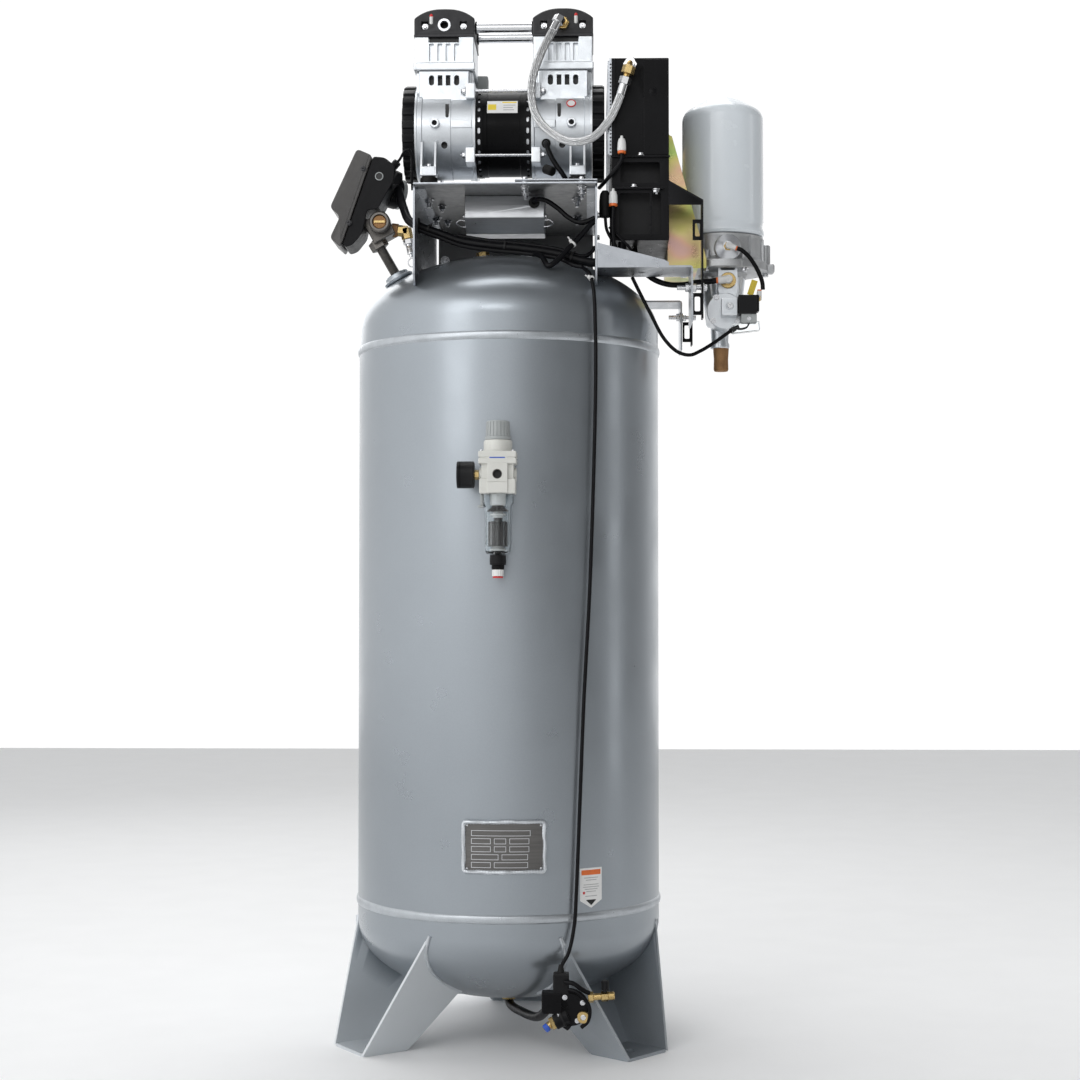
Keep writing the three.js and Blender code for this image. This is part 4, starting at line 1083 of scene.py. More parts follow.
def regulator():
    """Filter-regulator: housing, knob, bowl, element, drain cock and gauge."""
    at = lambda x, y, z: Vector((REG.x + x, REG.y + y, z))
    middle = join(
        reg_block(-16, 16, -25.5, 25, BODY_LOW + 1, 951),
        reg_block(-25, 25, -19, 19, BODY_LOW + 20, 948),
        reg_block(-28, 28, -23, 23, BODY_LOW, 911, 2.5),
        rod(at(-29, 0, REG_PORT_Z), at(29, 0, REG_PORT_Z), 11, 40, 1),
        rod(at(0, 20, REG_PORT_Z), (REG.x, -246, REG_PORT_Z), 9.8, 40, 0.6),
    )
    middle = cut(
        middle, rod(at(0, -30, REG_PORT_Z), at(0, -12, REG_PORT_Z), 7.5, 40),
        rod(at(0, 0, BODY_LOW - 6), at(0, 0, 899.4), 17, 48),
        block(REG.x - 17, REG.x + 17, REG.y - 30, REG.y - 24.6, 905.6, 906.6),
        rod(at(-40, 0, REG_PORT_Z), at(-16, 0, REG_PORT_Z), 4.6, 24),
    )
    flange = join(
        reg_block(-29.3, 29.3, -26, 26, 934, 942.5, 2),
        reg_block(-29.3, 29.3, -26, 26, 943.8, 953.5, 2.2),
        reg_block(-27, 27, -24.5, 24.5, 941, 945, 0.5),
    )
    bonnet = lathe(
        [
            [5.6, 952], [23, 952], [23, 955], [22.2, 956], [22.2, 969], [20.5, 971.6], [5.6, 971.6],
            [5.6, 952],
        ],
        at(0, 0, 0), sides=144,
        shape=lambda a, h: 1 - (0.012 * (math.cos(48 * a) > 0) if 955.5 < h < 969.5 else 0),
    )
    flange = cut(flange, rod(at(0, 0, 925), at(0, 0, 960), 5.5, 32))
    pipe = hexagon((REG.x, -262.5, REG_PORT_Z), (REG.x, -270, REG_PORT_Z), 27, 1)
    screws = []
    for x in (-24.5, 24.5):
        for y in (-21, 21):
            screws.append(screw(at(x, y, 953), Z, 2.6, washer=False))
    make(
        "regulator_housing",
        [
            (IVORY, middle), (IVORY, flange), (IVORY, bonnet),
            (BLUE, reg_block(-12, 12, -25.6, -24, 942.2, 944.2, 0.3)),
            (IRON, ring(at(0, -24, REG_PORT_Z), at(0, -14, REG_PORT_Z), 6.6, 7.6, 40, 0.2)),
            # Dark disc inside the port: painted shade.
            (SHADE_AND_INK, rod(at(0, -14, REG_PORT_Z), at(0, -12.4, REG_PORT_Z), 7.3, 32)), (BRASS, pipe),
            (BOLT, together(*screws)),
            (GREY_PLASTIC, reg_block(-27, -22.5, -7, 7, BODY_LOW - 17, BODY_LOW - 0.2, 0.8)),
            (GREY_PLASTIC, reg_block(-31, -22.5, -7, 7, BODY_LOW - 21, BODY_LOW - 17.5, 0.8)),
        ],
        nodes=["regulator_body"],
    )

    def flutes(angle, height):
        if not 5.5 < height < 27:
            return 1
        return 0.945 if math.cos(20 * angle) > 0.55 else 1

    knob = [[0, 0], [20.2, 0], [20.6, 1.5], [20.4, 4.6], [19.3, 5.2], [19.3, 6]]
    knob += [[18.6, 16], [18.2, 26], [18.2, 27.2], [16.5, 29.2], [13, 29.7], [0, 29.7]]
    outer = lathe(knob, at(0, 0, KNOB_LOW), sides=240, shape=flutes)
    outer = cut(outer, rod(at(0, 0, KNOB_LOW - 1), at(0, 0, KNOB_LOW + 19), 10.8, 40))
    make("knob", [(GREY_PLASTIC, outer)], "regulator_knob_body", ["regulator_knob"], 26)

    low = BOWL_LOW
    guard = lathe(
        [
            [6.7, 0], [13, 0], [17.5, 1.5], [19.6, 5], [20.3, 12], [20.6, 60], [21.2, 74], [24.6, 80],
            [24.6, 93.4], [23, 93.4], [23, 81], [19.6, 75], [19, 60], [18.7, 12], [17.6, 6], [14, 3.4],
            [6.7, 3], [6.7, 0],
        ],
        at(0, 0, low), sides=96,
    )
    ribs = []
    for i in range(12):
        angle = TAU * i / 12
        rib = brick(19.6, 21.3, -0.8, 0.8, 14, 66, 0.3)
        turn = turned(at(0, 0, low), angle, "Z")
        ribs.append(moved(rib, turn))
    make("bowl", [(CLEAR, join(guard, *ribs))], nodes=["filter_bowl"])

    pleats = lambda a, h: 1 - 0.16 * (math.cos(14 * a) > 0.3) if 13 < h < 51 else 1
    element = [[0, 12], [15.2, 12.4], [15.2, 50], [13, 51.5], [6, 52], [6, 58], [0, 58]]
    louvre = [[0, 66], [16.2, 66.6], [17, 68], [9, 74.5], [9, 77], [0, 77]]
    make(
        "element",
        [
            (DARK_PLASTIC, lathe(element, at(0, 0, low), sides=168, shape=pleats)),
            (
                WHITE_PLASTIC,
                lathe(
                    [[0, 57], [8, 57], [8, 60], [12.5, 60.5], [12.5, 63], [8, 64], [8, 67], [0, 67]],
                    at(0, 0, low), sides=48,
                ),
            ),
            (
                DARK_PLASTIC,
                lathe(
                    louvre, at(0, 0, low), sides=120,
                    shape=lambda a, h: 1 - 0.1 * (math.cos(18 * a) > 0.4) if 66 < h < 70 else 1,
                ),
            ),
            (WHITE_PLASTIC, rod(at(0, 0, low + 76), at(0, 0, low + 100), 12.3, 48, 1)),
            (
                WHITE_PLASTIC,
                lathe(
                    [[0, 4.5], [11, 4.5], [13.5, 7], [12, 9], [9, 11], [9, 12.6], [0, 12.6]],
                    at(0, 0, low), sides=48,
                ),
            ),
        ],
        nodes=["filter_element"],
    )
    drain = [[0, 13], [9, 13], [9.8, 14], [9.8, 20], [12.6, 20.6], [12.8, 27], [12.4, 35.6]]
    drain += [[6, 35.9], [6, 42], [0, 42]]
    grip = lambda a, h: 1 - 0.05 * (math.cos(16 * a) > 0) if 13.5 < h < 20.2 else 1
    make(
        "drain_cock",
        [
            (BLACK_PLASTIC, lathe(drain, at(0, 0, COCK_LOW), sides=128, shape=grip)),
            (
                WHITE_PLASTIC,
                lathe(
                    [[0, 3], [8.6, 3], [9.2, 4], [9, 13.4], [0, 13.4]], at(0, 0, COCK_LOW), sides=96,
                    shape=lambda a, h: 1 - 0.04 * (math.cos(14 * a) > 0.2),
                ),
            ),
            (RED, lathe([[0, 0], [7.4, 0], [8.3, 1], [7, 3.4], [0, 3.4]], at(0, 0, COCK_LOW), sides=48)),
        ],
        "bowl_drain_body", ["bowl_drain"],
    )

    back = -36.5
    case = lathe(
        [
            [0, 0], [19, 0], [21, 1.6], [21, 22], [20.4, 22.4], [21, 23], [21, 26], [20.2, 27],
            [18.8, 27], [18.6, 12], [0, 12],
        ],
        at(back, 0, REG_PORT_Z), -X, 96,
    )
    dial = rod(at(back - 11.6, 0, REG_PORT_Z), at(back - 12.6, 0, REG_PORT_Z), 18.5, 64)
    marks = []
    for i in range(28):
        angle = math.radians(-135 + 270 * i / 27)
        long = 4.2 if i % 3 == 0 else 2.2
        tick = block(-12.9, -12.5, -0.22, 0.22, 17 - long, 17)
        marks.append(moved(tick, turned(at(back, 0, REG_PORT_Z), -angle, "X")))
    lens = lathe([[0, 24.5], [18.7, 24.3], [18.7, 25.4], [0, 26]], at(back, 0, REG_PORT_Z), -X, 64)
    make(
        "gauge",
        [
            (BLACK_PLASTIC, case),
            (PAPER, cut(dial, rod(at(back - 20, 0, REG_PORT_Z), at(back, 0, REG_PORT_Z), 1.3, 16))),
            (GREY_INK, together(*marks)),
            (BRASS, hexagon(at(back + 0.1, 0, REG_PORT_Z), at(-29.3, 0, REG_PORT_Z), 13, 0.8)),
            (BRASS, rod(at(back, 0, REG_PORT_Z), at(-18, 0, REG_PORT_Z), 4.3, 24)), (CLEAR, lens),
        ],
        nodes=["gauge_case"],
    )


regulator()


# -------------------------------------------------------------------- pump
PUMP_X = (span("head_left")[0] + span("head_right")[1]) / 2
SHAFT_Z = sum(span("fan_guard_left")[4:]) / 2
HEAD_LOW = span("head_right")[4]
# Places along the pump are counted outward from its middle.
CASE_END = 149
CYL = 100
FOOT = 124
BOLT_RING = 66
ROD_LEVELS = (1579, 1470.4)
TUBE_Z, TUBE_Y, PORT_Z = 1696, (-30, 30), 1693


def pump_side(name, s, port_hose):
    """One side of the pump: s is 1 on the left, and port_hose says the hose starts here."""
    px = lambda d: PUMP_X - s * d
    at = lambda d, y, z: Vector((px(d), y, z))
    away = Vector((-s, 0, 0))

    def pblock(d0, d1, y0, y1, z0, z1, width=0.0, segments=2):
        shell = block(*sorted((px(d0), px(d1))), *sorted((y0, y1)), z0, z1)
        return bevelled(shell, width, segments) if width else shell

    # Crankcase: turned casing, neck, foot ribs, tie-rod lugs and bosses.
    casing = lathe(
        [
            [0, 47], [78, 47], [78, 51.5], [75.5, 53], [75.5, 87.2], [74.6, 87.4], [74.6, 88.2],
            [76.5, 88.6], [76.5, 136], [78.6, 137], [78.6, 145], [80, 145.6], [80, 149], [0, 149],
        ],
        (PUMP_X, 0, SHAFT_Z), away, 128,
    )
    additions = [pblock(57, 143, -60, 60, 1548, 1615.7, 3, 3)]
    additions.append(pblock(52, 148, -52, 52, 1560, 1615.7, 4, 2))
    holes = [
        rod(at(51, 0, SHAFT_Z), at(145, 0, SHAFT_Z), 71, 64),
        rod(at(CYL, 0, 1540), at(CYL, 0, 1640), 38, 48),
        rod(at(30, 0, SHAFT_Z), at(160, 0, SHAFT_Z), 8.4, 24),
        rod(at(114.5, -95, 1521), at(114.5, -72, 1521), 4.6, 24),
        rod(at(99, -90, 1487), at(99, -55, 1487), 5.4, 32),
        rod(at(114.5, 95, 1521), at(114.5, 72, 1521), 4.6, 24),
    ]
    for y in (-84, 66):
        shell = prism(shifted(slot(5.6, 22), px(94), 1543), "y", y, y + 18)
        holes.append(shell)
    for way in (-1, 1):
        additions.append(rod(at(114.5, way * 86, 1521), at(114.5, way * 60, 1521), 8, 40, 0.8))
        additions.append(pblock(52, 88, way * 60, way * 77, 1514, 1528, 2, 2))
        for z in ROD_LEVELS:
            lug = pblock(47.2, 63, way * 34, way * 74, z - 14, z + 12)
            additions.append(bevelled(lug, 2, 2))
        for d in (113, 136):
            outline = [
                [way * 92, 1432], [way * 91, 1450], [way * 80, 1490], [way * 66, 1496],
                [way * 40, 1460], [way * 62, 1432],
            ]
            additions.append(prism(outline, "x", *sorted((px(d - 1.6), px(d + 1.6)))))
        additions.append(pblock(111.5, 137.5, way * 62, way * 92, 1430.3, 1447, 2.5, 3))
        holes.append(rod(at(FOOT, way * 77, 1420), at(FOOT, way * 77, 1450), 4.5, 24))
        for i, d in enumerate((121.5, 107, 93.5, 79)):
            width = 9 if i in (0, 3) else 8
            outline = slot(width, 17.6, 6) if i in (0, 3) else [
                [-width / 2, -8.8], [width / 2, -8.8], [width / 2, 8.8], [-width / 2, 8.8],
            ]
            y = sorted((way * 70, way * 46))
            holes.append(prism(shifted(outline, px(d), 1599), "y", *y))
    casting = cut(join(casing, *additions), *holes)
    # Dark strips behind the slots: painted shade.
    dark = [pblock(72, 128, way * 47.5, way * 49, 1589, 1609.5) for way in (-1, 1)]
    seam_bolts = []
    for way in (-1, 1):
        seam_bolts.append(screw(at(FOOT, way * 77, 1447), Z, 5, washer=True))
        seam_bolts.append(screw(at(143, way * 30, 1598), away, 3.4))
    make(
        "crank_casting_" + name,
        [
            # Dark strips and discs in the slots and holes: painted shade.
            (CAST, casting), (SHADE_AND_INK, together(*dark)),
            (SHADE_AND_INK, rod(at(114.5, -74, 1521), at(114.5, -72.2, 1521), 5.2, 24)),
            (SHADE_AND_INK, pblock(91, 97, -74.2, -72.5, 1531, 1555)),
            (SHADE_AND_INK, rod(at(99, -60, 1487), at(99, -57, 1487), 7, 24)), (BOLT, together(*seam_bolts)),
        ],
        nodes=["crankcase_" + name], sharp=38,
    )

    # Cylinder block with cooling grooves, and dark sheets in the gap under the head as painted shade.
    body = join(
        pblock(50, 150, -60, 60, 1626, HEAD_LOW - 0.3, 2.2, 3),
        pblock(48, 152, -62, 62, 1616, 1629.5, 3, 3),
    )
    tools = [rod(at(CYL, 0, 1600), at(CYL, 0, 1690), 32, 64)]
    for y0, y1 in ((-70, -53.5), (53.5, 70)):
        for d in (79.5, 93.5, 107.5, 121.5):
            tools.append(pblock(d - 4.2, d + 4.2, y0, y1, 1631.5, 1661.5, 1.5, 2))
        tools.append(pblock(75, 127, y0, y1 + (3 if y1 < 0 else 0), 1663, 1680))
    for i in range(9):
        y = -44 + i * 11
        tools.append(pblock(142, 156, y - 2.6, y + 2.6, 1633, 1668, 1, 1))
    gap = [pblock(76, 126, way * 50.8, way * 52, 1663.4, 1673) for way in (-1, 1)]
    make(
        "cylinder_block_" + name, [(CAST, cut(body, *tools)), (SHADE_AND_INK, together(*gap))],
        nodes=["cylinder_" + name],
    )

    # Head: arched cap over a gasket lip, with pockets for its screws.
    arch = [[px(49), HEAD_LOW + 3], [px(49), 1700]]
    for i in range(25):
        u = -1 + 2 * i / 24
        arch.append([px(CYL + 51 * u), 1704.5 + 16.2 * (1 - abs(u) ** 2.6)])
    arch += [[px(151), 1700], [px(151), HEAD_LOW + 3]]
    cap = bevelled(prism(arch, "y", -60, 60), 3, 3, 50)
    lip = pblock(48.6, 151.4, -60, 60, HEAD_LOW, HEAD_LOW + 4.2, 1)
    tools = [rod(at(CYL, -70, PORT_Z), at(CYL, -30, PORT_Z), 8.2, 40)]
    tools += [rod(at(80, y, TUBE_Z), at(40, y, TUBE_Z), 8.9, 32) for y in TUBE_Y]
    tools.append(pblock(70, 130, -40, 40, HEAD_LOW - 1, 1700))
    screws, dark = [], []
    for d in (68, 133):
        for way in (-1, 1):
            y = sorted((way * 66, way * 51))
            tools.append(pblock(d - 6, d + 6, *y, 1686, 1699.5, 1.5))
            screws.append(screw((px(d), way * 51.5, 1692.6), (0, way, 0), 3.6))
            # Dark sheets at the back of the screw pockets: painted shade.
            dark.append(pblock(d - 6.5, d + 6.5, way * 50.2, way * 51.2, 1685.5, 1700))
    for y in (-20, 20):
        screws.append(screw((px(88), y, 1719.6), Z, 3.0, washer=False))
        screws.append(screw((px(112), y, 1719.6), Z, 3.0, washer=False))
    tag = lathe(
        [[0, 0], [2.4, 0.4], [3.4, 2], [3.4, 13], [0, 13]], (px(122), -61.5, 1694), (0, 0, 1), 24,
    )
    tip = lathe(
        [[0, 12.8], [3.4, 12.8], [3.2, 16], [2, 18], [0, 18.6]], (px(122), -61.5, 1694), (0, 0, 1), 24,
    )
    shift = Matrix.Translation((0, 3.2, 0))
    parts = [
        (BLACK_CAST, cut(join(cap, lip), *tools)), (BOLT, together(*screws)), (SHADE_AND_INK, together(*dark)),
        (WHITE_PLASTIC, moved(tag, shift)), (RED, moved(tip, shift)),
    ]
    if not port_hose:
        parts.append((BARE, ring(at(CYL, -61.8, PORT_Z), at(CYL, -52, PORT_Z), 7, 11.2, 48, 0.8)))
        # Dark disc inside the port: painted shade.
        parts.append((SHADE_AND_INK, rod(at(CYL, -40, PORT_Z), at(CYL, -38, PORT_Z), 8, 24)))
    make("head_cap_" + name, parts, nodes=["head_" + name])

    # Cogged fan guard with a spoked face.
    rim = [
        [73, 0], [80.5, 0], [81.9, 0.6], [81.9, 2.4], [81.9, 2.5], [81.9, 17], [80, 20.4], [73, 20.4],
        [73, 0],
    ]
    rim = [[r, h + CASE_END + 0.35] for r, h in rim]
    cogs = lambda a, h: 1 - (0.038 if math.cos(22 * a) > 0.1 and h > CASE_END + 2.6 else 0)
    face = [lathe(rim, (PUMP_X, 0, SHAFT_Z), away, 264, cogs)]
    outer = 166.5
    for r in (20, 34, 48, 62):
        face.append(ring(at(outer, 0, SHAFT_Z), at(outer + 2.6, 0, SHAFT_Z), r, r + 3, 72, 0.5))
    face.append(rod(at(outer - 1, 0, SHAFT_Z), at(outer + 3.2, 0, SHAFT_Z), 14, 40, 1))
    for i in range(10):
        bar = brick(outer, outer + 3, -1.8, 1.8, 10, 76, 0.5)
        flip = Matrix.Scale(-s, 4, X)
        turn = turned((PUMP_X, 0, SHAFT_Z), TAU * i / 10, "X")
        face.append(moved(bar, turn @ flip))
    make(
        "guard_" + name, [(BLACK_PLASTIC, together(*face))],
        nodes=["fan_guard_" + name],
    )

    # Impeller behind the guard.
    fan = [rod(at(150.5, 0, SHAFT_Z), at(153, 0, SHAFT_Z), 66, 64, 0.5)]
    fan.append(rod(at(151, 0, SHAFT_Z), at(163, 0, SHAFT_Z), 15, 40, 1.2))
    for i in range(11):
        verts = []
        for k in range(9):
            r = 12 + 54 * k / 8
            lean = 0.55 * (k / 8) ** 1.3
            for off in (-1.1, 1.1):
                for d in (152.6, 163.6):
                    y, z = r * math.sin(lean) + off, r * math.cos(lean)
                    verts.append(Vector((-s * d, y, z)))
        turn = turned((PUMP_X, 0, SHAFT_Z), TAU * i / 11, "X")
        fan.append(moved(skin(verts, [0, 1, 3, 2]), turn))
    make(
        "impeller_" + name, [(BLACK_PLASTIC, together(*fan))], "crank",
        ["pump_fan_" + name],
    )

    # Rubber feet with their cups, bolts, and nuts under the platform.
    for end, y in (("front", -77), ("rear", 77)):
        x = px(FOOT)
        low = span("pump_foot_%s_%s" % (name, end))[4]
        rubber = lathe(
            [
                [0, 0], [14, 0], [15, 1.5], [15, 8], [13.6, 13], [13.6, 20], [14.6, 24], [14.6, 31],
                [13, 32.4], [0, 32.4],
            ],
            (x, y, low), sides=56,
        )
        under = nut((x, y, low - 3.4), -Z, 12, 7)
        make(
            "foot_%s_%s" % (name, end),
            [(RUBBER, rubber), (BOLT, rod((x, y, 1428), (x, y, 1451), 4, 20)), (BOLT, under)],
            nodes=["pump_foot_%s_%s" % (name, end)],
        )


pump_side("left", 1, False)
pump_side("right", -1, True)


def motor():
    """Motor between the crankcases, its tie rods, lead and labels."""
    at = lambda x, y, z: Vector((PUMP_X + x, y, z))
    shell = lathe(
        [
            [39.5, -34.8], [68, -34.8], [68, -46.7], [72, -46.7], [73.4, -45.5], [73.4, -36],
            [72.4, -34.5], [72.4, -28], [71.4, -27], [71.4, 27], [72.4, 28], [72.4, 34.5], [73.4, 36],
            [73.4, 45.5], [72, 46.7], [68, 46.7], [68, 34.8], [39.5, 34.8], [39.5, -34.8],
        ],
        (PUMP_X, 0, SHAFT_Z), X, 128,
    )
    slots = []
    for i in range(24):
        for x in (-41, 41):
            hole = prism(slot(4.4, 10), "z", 70, 78)
            turn = turned(at(x, 0, SHAFT_Z), TAU * (i + 0.5) / 24, "X")
            slots.append(moved(hole, turn))
    shell = cut(shell, *slots)
    liner = [
        ring(at(x - 3.5, 0, SHAFT_Z), at(x + 3.5, 0, SHAFT_Z), 69.4, 70.4, 96, 0.1)
        for x in (-41, 41)
    ]
    rods = []
    for y in (-1, 1):
        for z in ROD_LEVELS:
            start, end = at(-66, y * BOLT_RING, z), at(66, y * BOLT_RING, z)
            rods.append(rod(start, end, 2.6, 20))
            for side in (-1, 1):
                face = at(side * 63.2, y * BOLT_RING, z)
                rods.append(nut(face, (side, 0, 0), 9, 3))
    lead = [
        (72, -62, 1489), (72, -78, 1487), (76, -86, 1474), (82, -88, 1460), (88, -88, 1450),
        (95, -88, 1440), (102, -86, 1430), (108, -80, 1418), (112, -72, 1404), (112, -66, 1399),
    ]
    lead = [at(x, y, z) for x, y, z in lead]
    gland = [
        ring(at(72, -64, 1489), at(72, -74, 1488), 3.9, 7.6, 40, 1),
        rod(at(84, -82, 1438), at(70, -70, 1446), 8, 32, 1.5),
    ]
    make(
        "motor",
        [(BLACK_PAINT, shell), (BARE, together(*liner)), (BOLT, together(*rods))],
        nodes=["motor_shell"],
    )
    make("motor_lead", [(CABLE, cable(lead, 4.2)), (RUBBER, together(*gland))])

    def wrapped(a0, a1, z_mid, half, radius, lift):
        """Label bent round the motor's front."""
        verts = []
        n = 10
        for i in range(n + 1):
            angle = (z_mid - SHAFT_Z - half + 2 * half * i / n) / radius
            for r in (radius, radius + lift):
                for x in (a0, a1):
                    verts.append(at(x, -r * math.cos(angle), SHAFT_Z + r * math.sin(angle)))
        return skin(verts, [0, 1, 3, 2])

    r = 71.4
    parts = [
        (PAPER, wrapped(-31, 24, 1554, 13, r, 0.35)), (YELLOW, wrapped(-2, 22, 1563.5, 1.6, r, 0.42)),
    ]
    parts.append((YELLOW, wrapped(-26, -12, 1553, 6, r, 0.42)))
    for i, width in enumerate((20, 16, 18)):
        parts.append((GREY_INK, wrapped(0, width, 1557 - 5 * i, 0.6, r, 0.42)))
    make("motor_label", parts)
    tilt = Vector((0, -math.cos(0.5), math.sin(0.5)))
    center = at(114, 0, SHAFT_Z) + tilt * 76.4
    make(
        "case_sticker",
        [
            (PAPER, rod(center, center + tilt * 0.7, 7.6, 40, 0.1)),
            (RED, ring(center + tilt * 0.2, center + tilt * 0.9, 6.4, 8.2, 48, 0.1)),
        ],
    )


motor()


def manifold_tubes():
    """The two tubes between the heads, and the terminal box behind the motor."""
    for name, y in (("front", -30), ("rear", 30)):
        start, end = Vector((PUMP_X - 60, y, TUBE_Z)), Vector((PUMP_X + 60, y, TUBE_Z))
        parts = [(POLISHED, ring(start, end, 6.5, 8.5, 64, 0.2))]
        for side in (-1, 1):
            a = Vector((PUMP_X + side * 48.8, y, TUBE_Z))
            parts.append((RUBBER, ring(a, a - Vector((side * 2.2, 0, 0)), 8.4, 11, 40, 0.7)))
        make("tube_" + name, parts, nodes=["manifold_tube_" + name])
    terminal = brick(-62, -38, 34, 62, 1596, 1632, 4, 3)
    make("terminal_box", [(GREY_PLASTIC, terminal)])


manifold_tubes()


# ---------------------------------------------------------------- platform
PX0, PX1, PY0, PY1, BACK_LOW, PLATE_TOP = span("platform_top")
SHEET = 3
PLATE_LOW = PLATE_TOP - SHEET
ARM_TOP = span("arm_front")[5] - 37
ARM_Z = ARM_TOP - SHEET


def dome_space():
    """The space of the upper head, for trimming sheets that stand on it."""
    outer = [[0, HIGH_WELD - 40], [TANK_R + 0.6, HIGH_WELD - 40], *dished(HIGH_WELD, 1, 0.6)[1:]]
    return lathe(outer, sides=96)


LOOM_Y, LOOM_Z = -128, 1339.5
LOOM_IN = rod((PX0 - 8, LOOM_Y, LOOM_Z), (PX0 + 12, LOOM_Y, LOOM_Z), 12, 40)
LOOM_OUT = rod((PX1 - 10, -160, 1272), (PX1 + 10, -160, 1272), 11, 40)


def platform():
    """Deck, side sheets, capacitor box and the leads under the deck."""
    top = brick(PX0, PX1, PY0, PY1, PLATE_LOW, PLATE_TOP, 1.2, 3)
    # The rear panel and the liner sheet under the deck are darkened with painted shade.
    panel = brick(PX0 + 6, PX1 - 6, PY1 - SHEET, PY1, BACK_LOW, PLATE_LOW + 0.6, 0.8)
    liner = brick(PX0 + 4, PX1 - 4, PY0 + 4, PY1 - 4, PLATE_LOW - 0.25, PLATE_LOW + 0.2, 0.1)
    extra = brick(17, PX1 + 0.5, PY0 + 6, PY0 + 76, PLATE_TOP + 3.4, PLATE_TOP + 6, 0.7)
    fasteners, spacers = [], []
    for x in (33, 125):
        for y in (PY0 + 18, PY0 + 64):
            spacers.append(ring((x, y, PLATE_TOP), (x, y, PLATE_TOP + 3.5), 4, 8, 24, 0.3))
            fasteners.append(screw((x, y, PLATE_TOP + 6), Z, 4.4, socket=False))
            fasteners.append(nut((x, y, PLATE_LOW), -Z, 10, 6))
    for x in (PX0 + 18, PX1 - 18):
        fasteners.append(nut((x, PY1 - SHEET, BACK_LOW + 20), -Y, 11, 5))
        fasteners.append(screw((x, PY1, BACK_LOW + 20), Y, 5))
    for y in (-20, 110):
        fasteners.append(nut((PX0 + 34, y, PLATE_LOW), -Z, 10, 4))
    make(
        "platform_deck",
        [
            (STEEL, top), (SHADE_PANEL, panel), (SHADE_PANEL, liner), (STEEL, extra),
            (BOLT, together(*fasteners, *spacers)),
        ],
        nodes=["platform_top"],
    )
    outline = [
        [PY0, PLATE_LOW - 0.3], [PY0, 1246], [PY0 + 12, 1232], [-150, 1232], [-120, 1200], [150, 1200],
        [PY1 - 60, 1232], [PY1 - 12, 1232], [PY1, 1246], [PY1, PLATE_LOW - 0.3],
    ]
    for side, x0, hole in (("left", PX0, LOOM_IN), ("right", PX1 - SHEET, LOOM_OUT)):
        sheet = cut(prism(rounded(outline, 9, 4), "x", x0, x0 + SHEET), dome_space(), hole)
        lo, hi = (x0 + SHEET, x0 + SHEET + 14) if side == "left" else (x0 - 14, x0)
        hem = brick(lo, hi, PY0 + 30, PY1 - 30, PLATE_LOW - 3.2, PLATE_LOW - 0.3, 0.5)
        studs = []
        away = -1 if side == "left" else 1
        face = x0 if side == "left" else x0 + SHEET
        for y in (PY0 + 60, 60, PY1 - 70):
            studs.append(screw((face, y, PLATE_LOW - 40), (away, 0, 0), 4.5))
        grommet = []
        if side == "left":
            grommet.append((
                RUBBER, ring((x0 - 2, LOOM_Y, LOOM_Z), (x0 + 5, LOOM_Y, LOOM_Z), 9.6, 13.4, 40, 0.8),
            ))
        make(
            "platform_cheek_" + side,
            [(STEEL, bevelled(sheet, 0.7, 2, 40)), (STEEL, hem), (BOLT, together(*studs)), *grommet],
            nodes=["platform_side_" + side],
        )

    cx0, cx1 = span("capacitor_cover")[:2]
    top_z = PLATE_LOW - 0.3
    outer = [
        [-105, top_z], [-112, 1376], [-112, 1356], [-84, 1334], [-40, 1334], [-12, 1356], [-12, 1376],
        [-19, top_z],
    ]
    inner = [
        [-102.5, top_z + 1], [-109.5, 1375.5], [-109.5, 1357.2], [-83.2, 1336.5], [-40.8, 1336.5],
        [-14.5, 1357.2], [-14.5, 1375.5], [-21.5, top_z + 1],
    ]
    shell = cut(
        bevelled(prism(outer, "x", cx0, cx1), 1.6, 3), prism(inner, "x", cx0 + 2.5, cx1 - 2.5),
        rod((46, -120, 1380), (46, -100, 1380), 6, 32),
    )
    clips = []
    for x, way in ((cx0, -1), (cx1, 1)):
        loop = [
            (x - way, -104, 1352), (x + way * 8, -105, 1353), (x + way * 14, -104, 1348),
            (x + way * 8, -98, 1344), (x - way, -96, 1343),
        ]
        clips.append(sweep(smooth(loop, 1.5), 1.3, 12))
        clips.append(rod((x + way * 0.1, -100, 1360), (x + way * 4, -100, 1360), 3.4, 20, 0.8))
    make(
        "capacitor_box", [(BARE, shell), (BOLT, together(*clips))],
        nodes=["capacitor_cover"],
    )
    lead = [
        (46, -104, 1380), (46, -114, 1381), (52, -124, 1383), (66, -130, 1380), (84, -132, 1368),
        (104, -136, 1350), (122, -142, 1341), (136, -146, 1343), (PX1 - 3.4, -148, 1348),
    ]
    make(
        "capacitor_lead",
        [
            (CABLE, cable(lead, 4)),
            (RUBBER, ring((46, -115.5, 1380), (46, -108, 1380), 3.6, 9, 40, 1.2)),
        ],
    )
    drop = [
        (PX1 - 3.6, -150, 1342), (138, -154, 1334), (124, -162, 1316), (104, -174, 1293),
        (84, -186, 1270), (72, -190, 1262), (60, -172, 1280), (44, -152, 1290),
    ]
    make(
        "fan_lead",
        [
            (CABLE, cable(drop, 4.4)),
            (WHITE_PLASTIC, tie((110.5, -170, 1300.5), (-0.6, -0.35, -0.7), 4.5)),
        ],
    )


platform()


# ------------------------------------------------------------- aftercooler
SX0, SX1, _, _, SZ0, SZ1 = span("cooler_shroud")
_, frame_x1, KY0, KY1, _, _ = span("cooler_frame")
STRIP_X = frame_x1 - 1.5
INLET_X, INLET_Z = 204, 1596
STAND_TOP = 1445.7
COOL_MID = (KY0 + KY1) / 2
FAN_Z = 1525


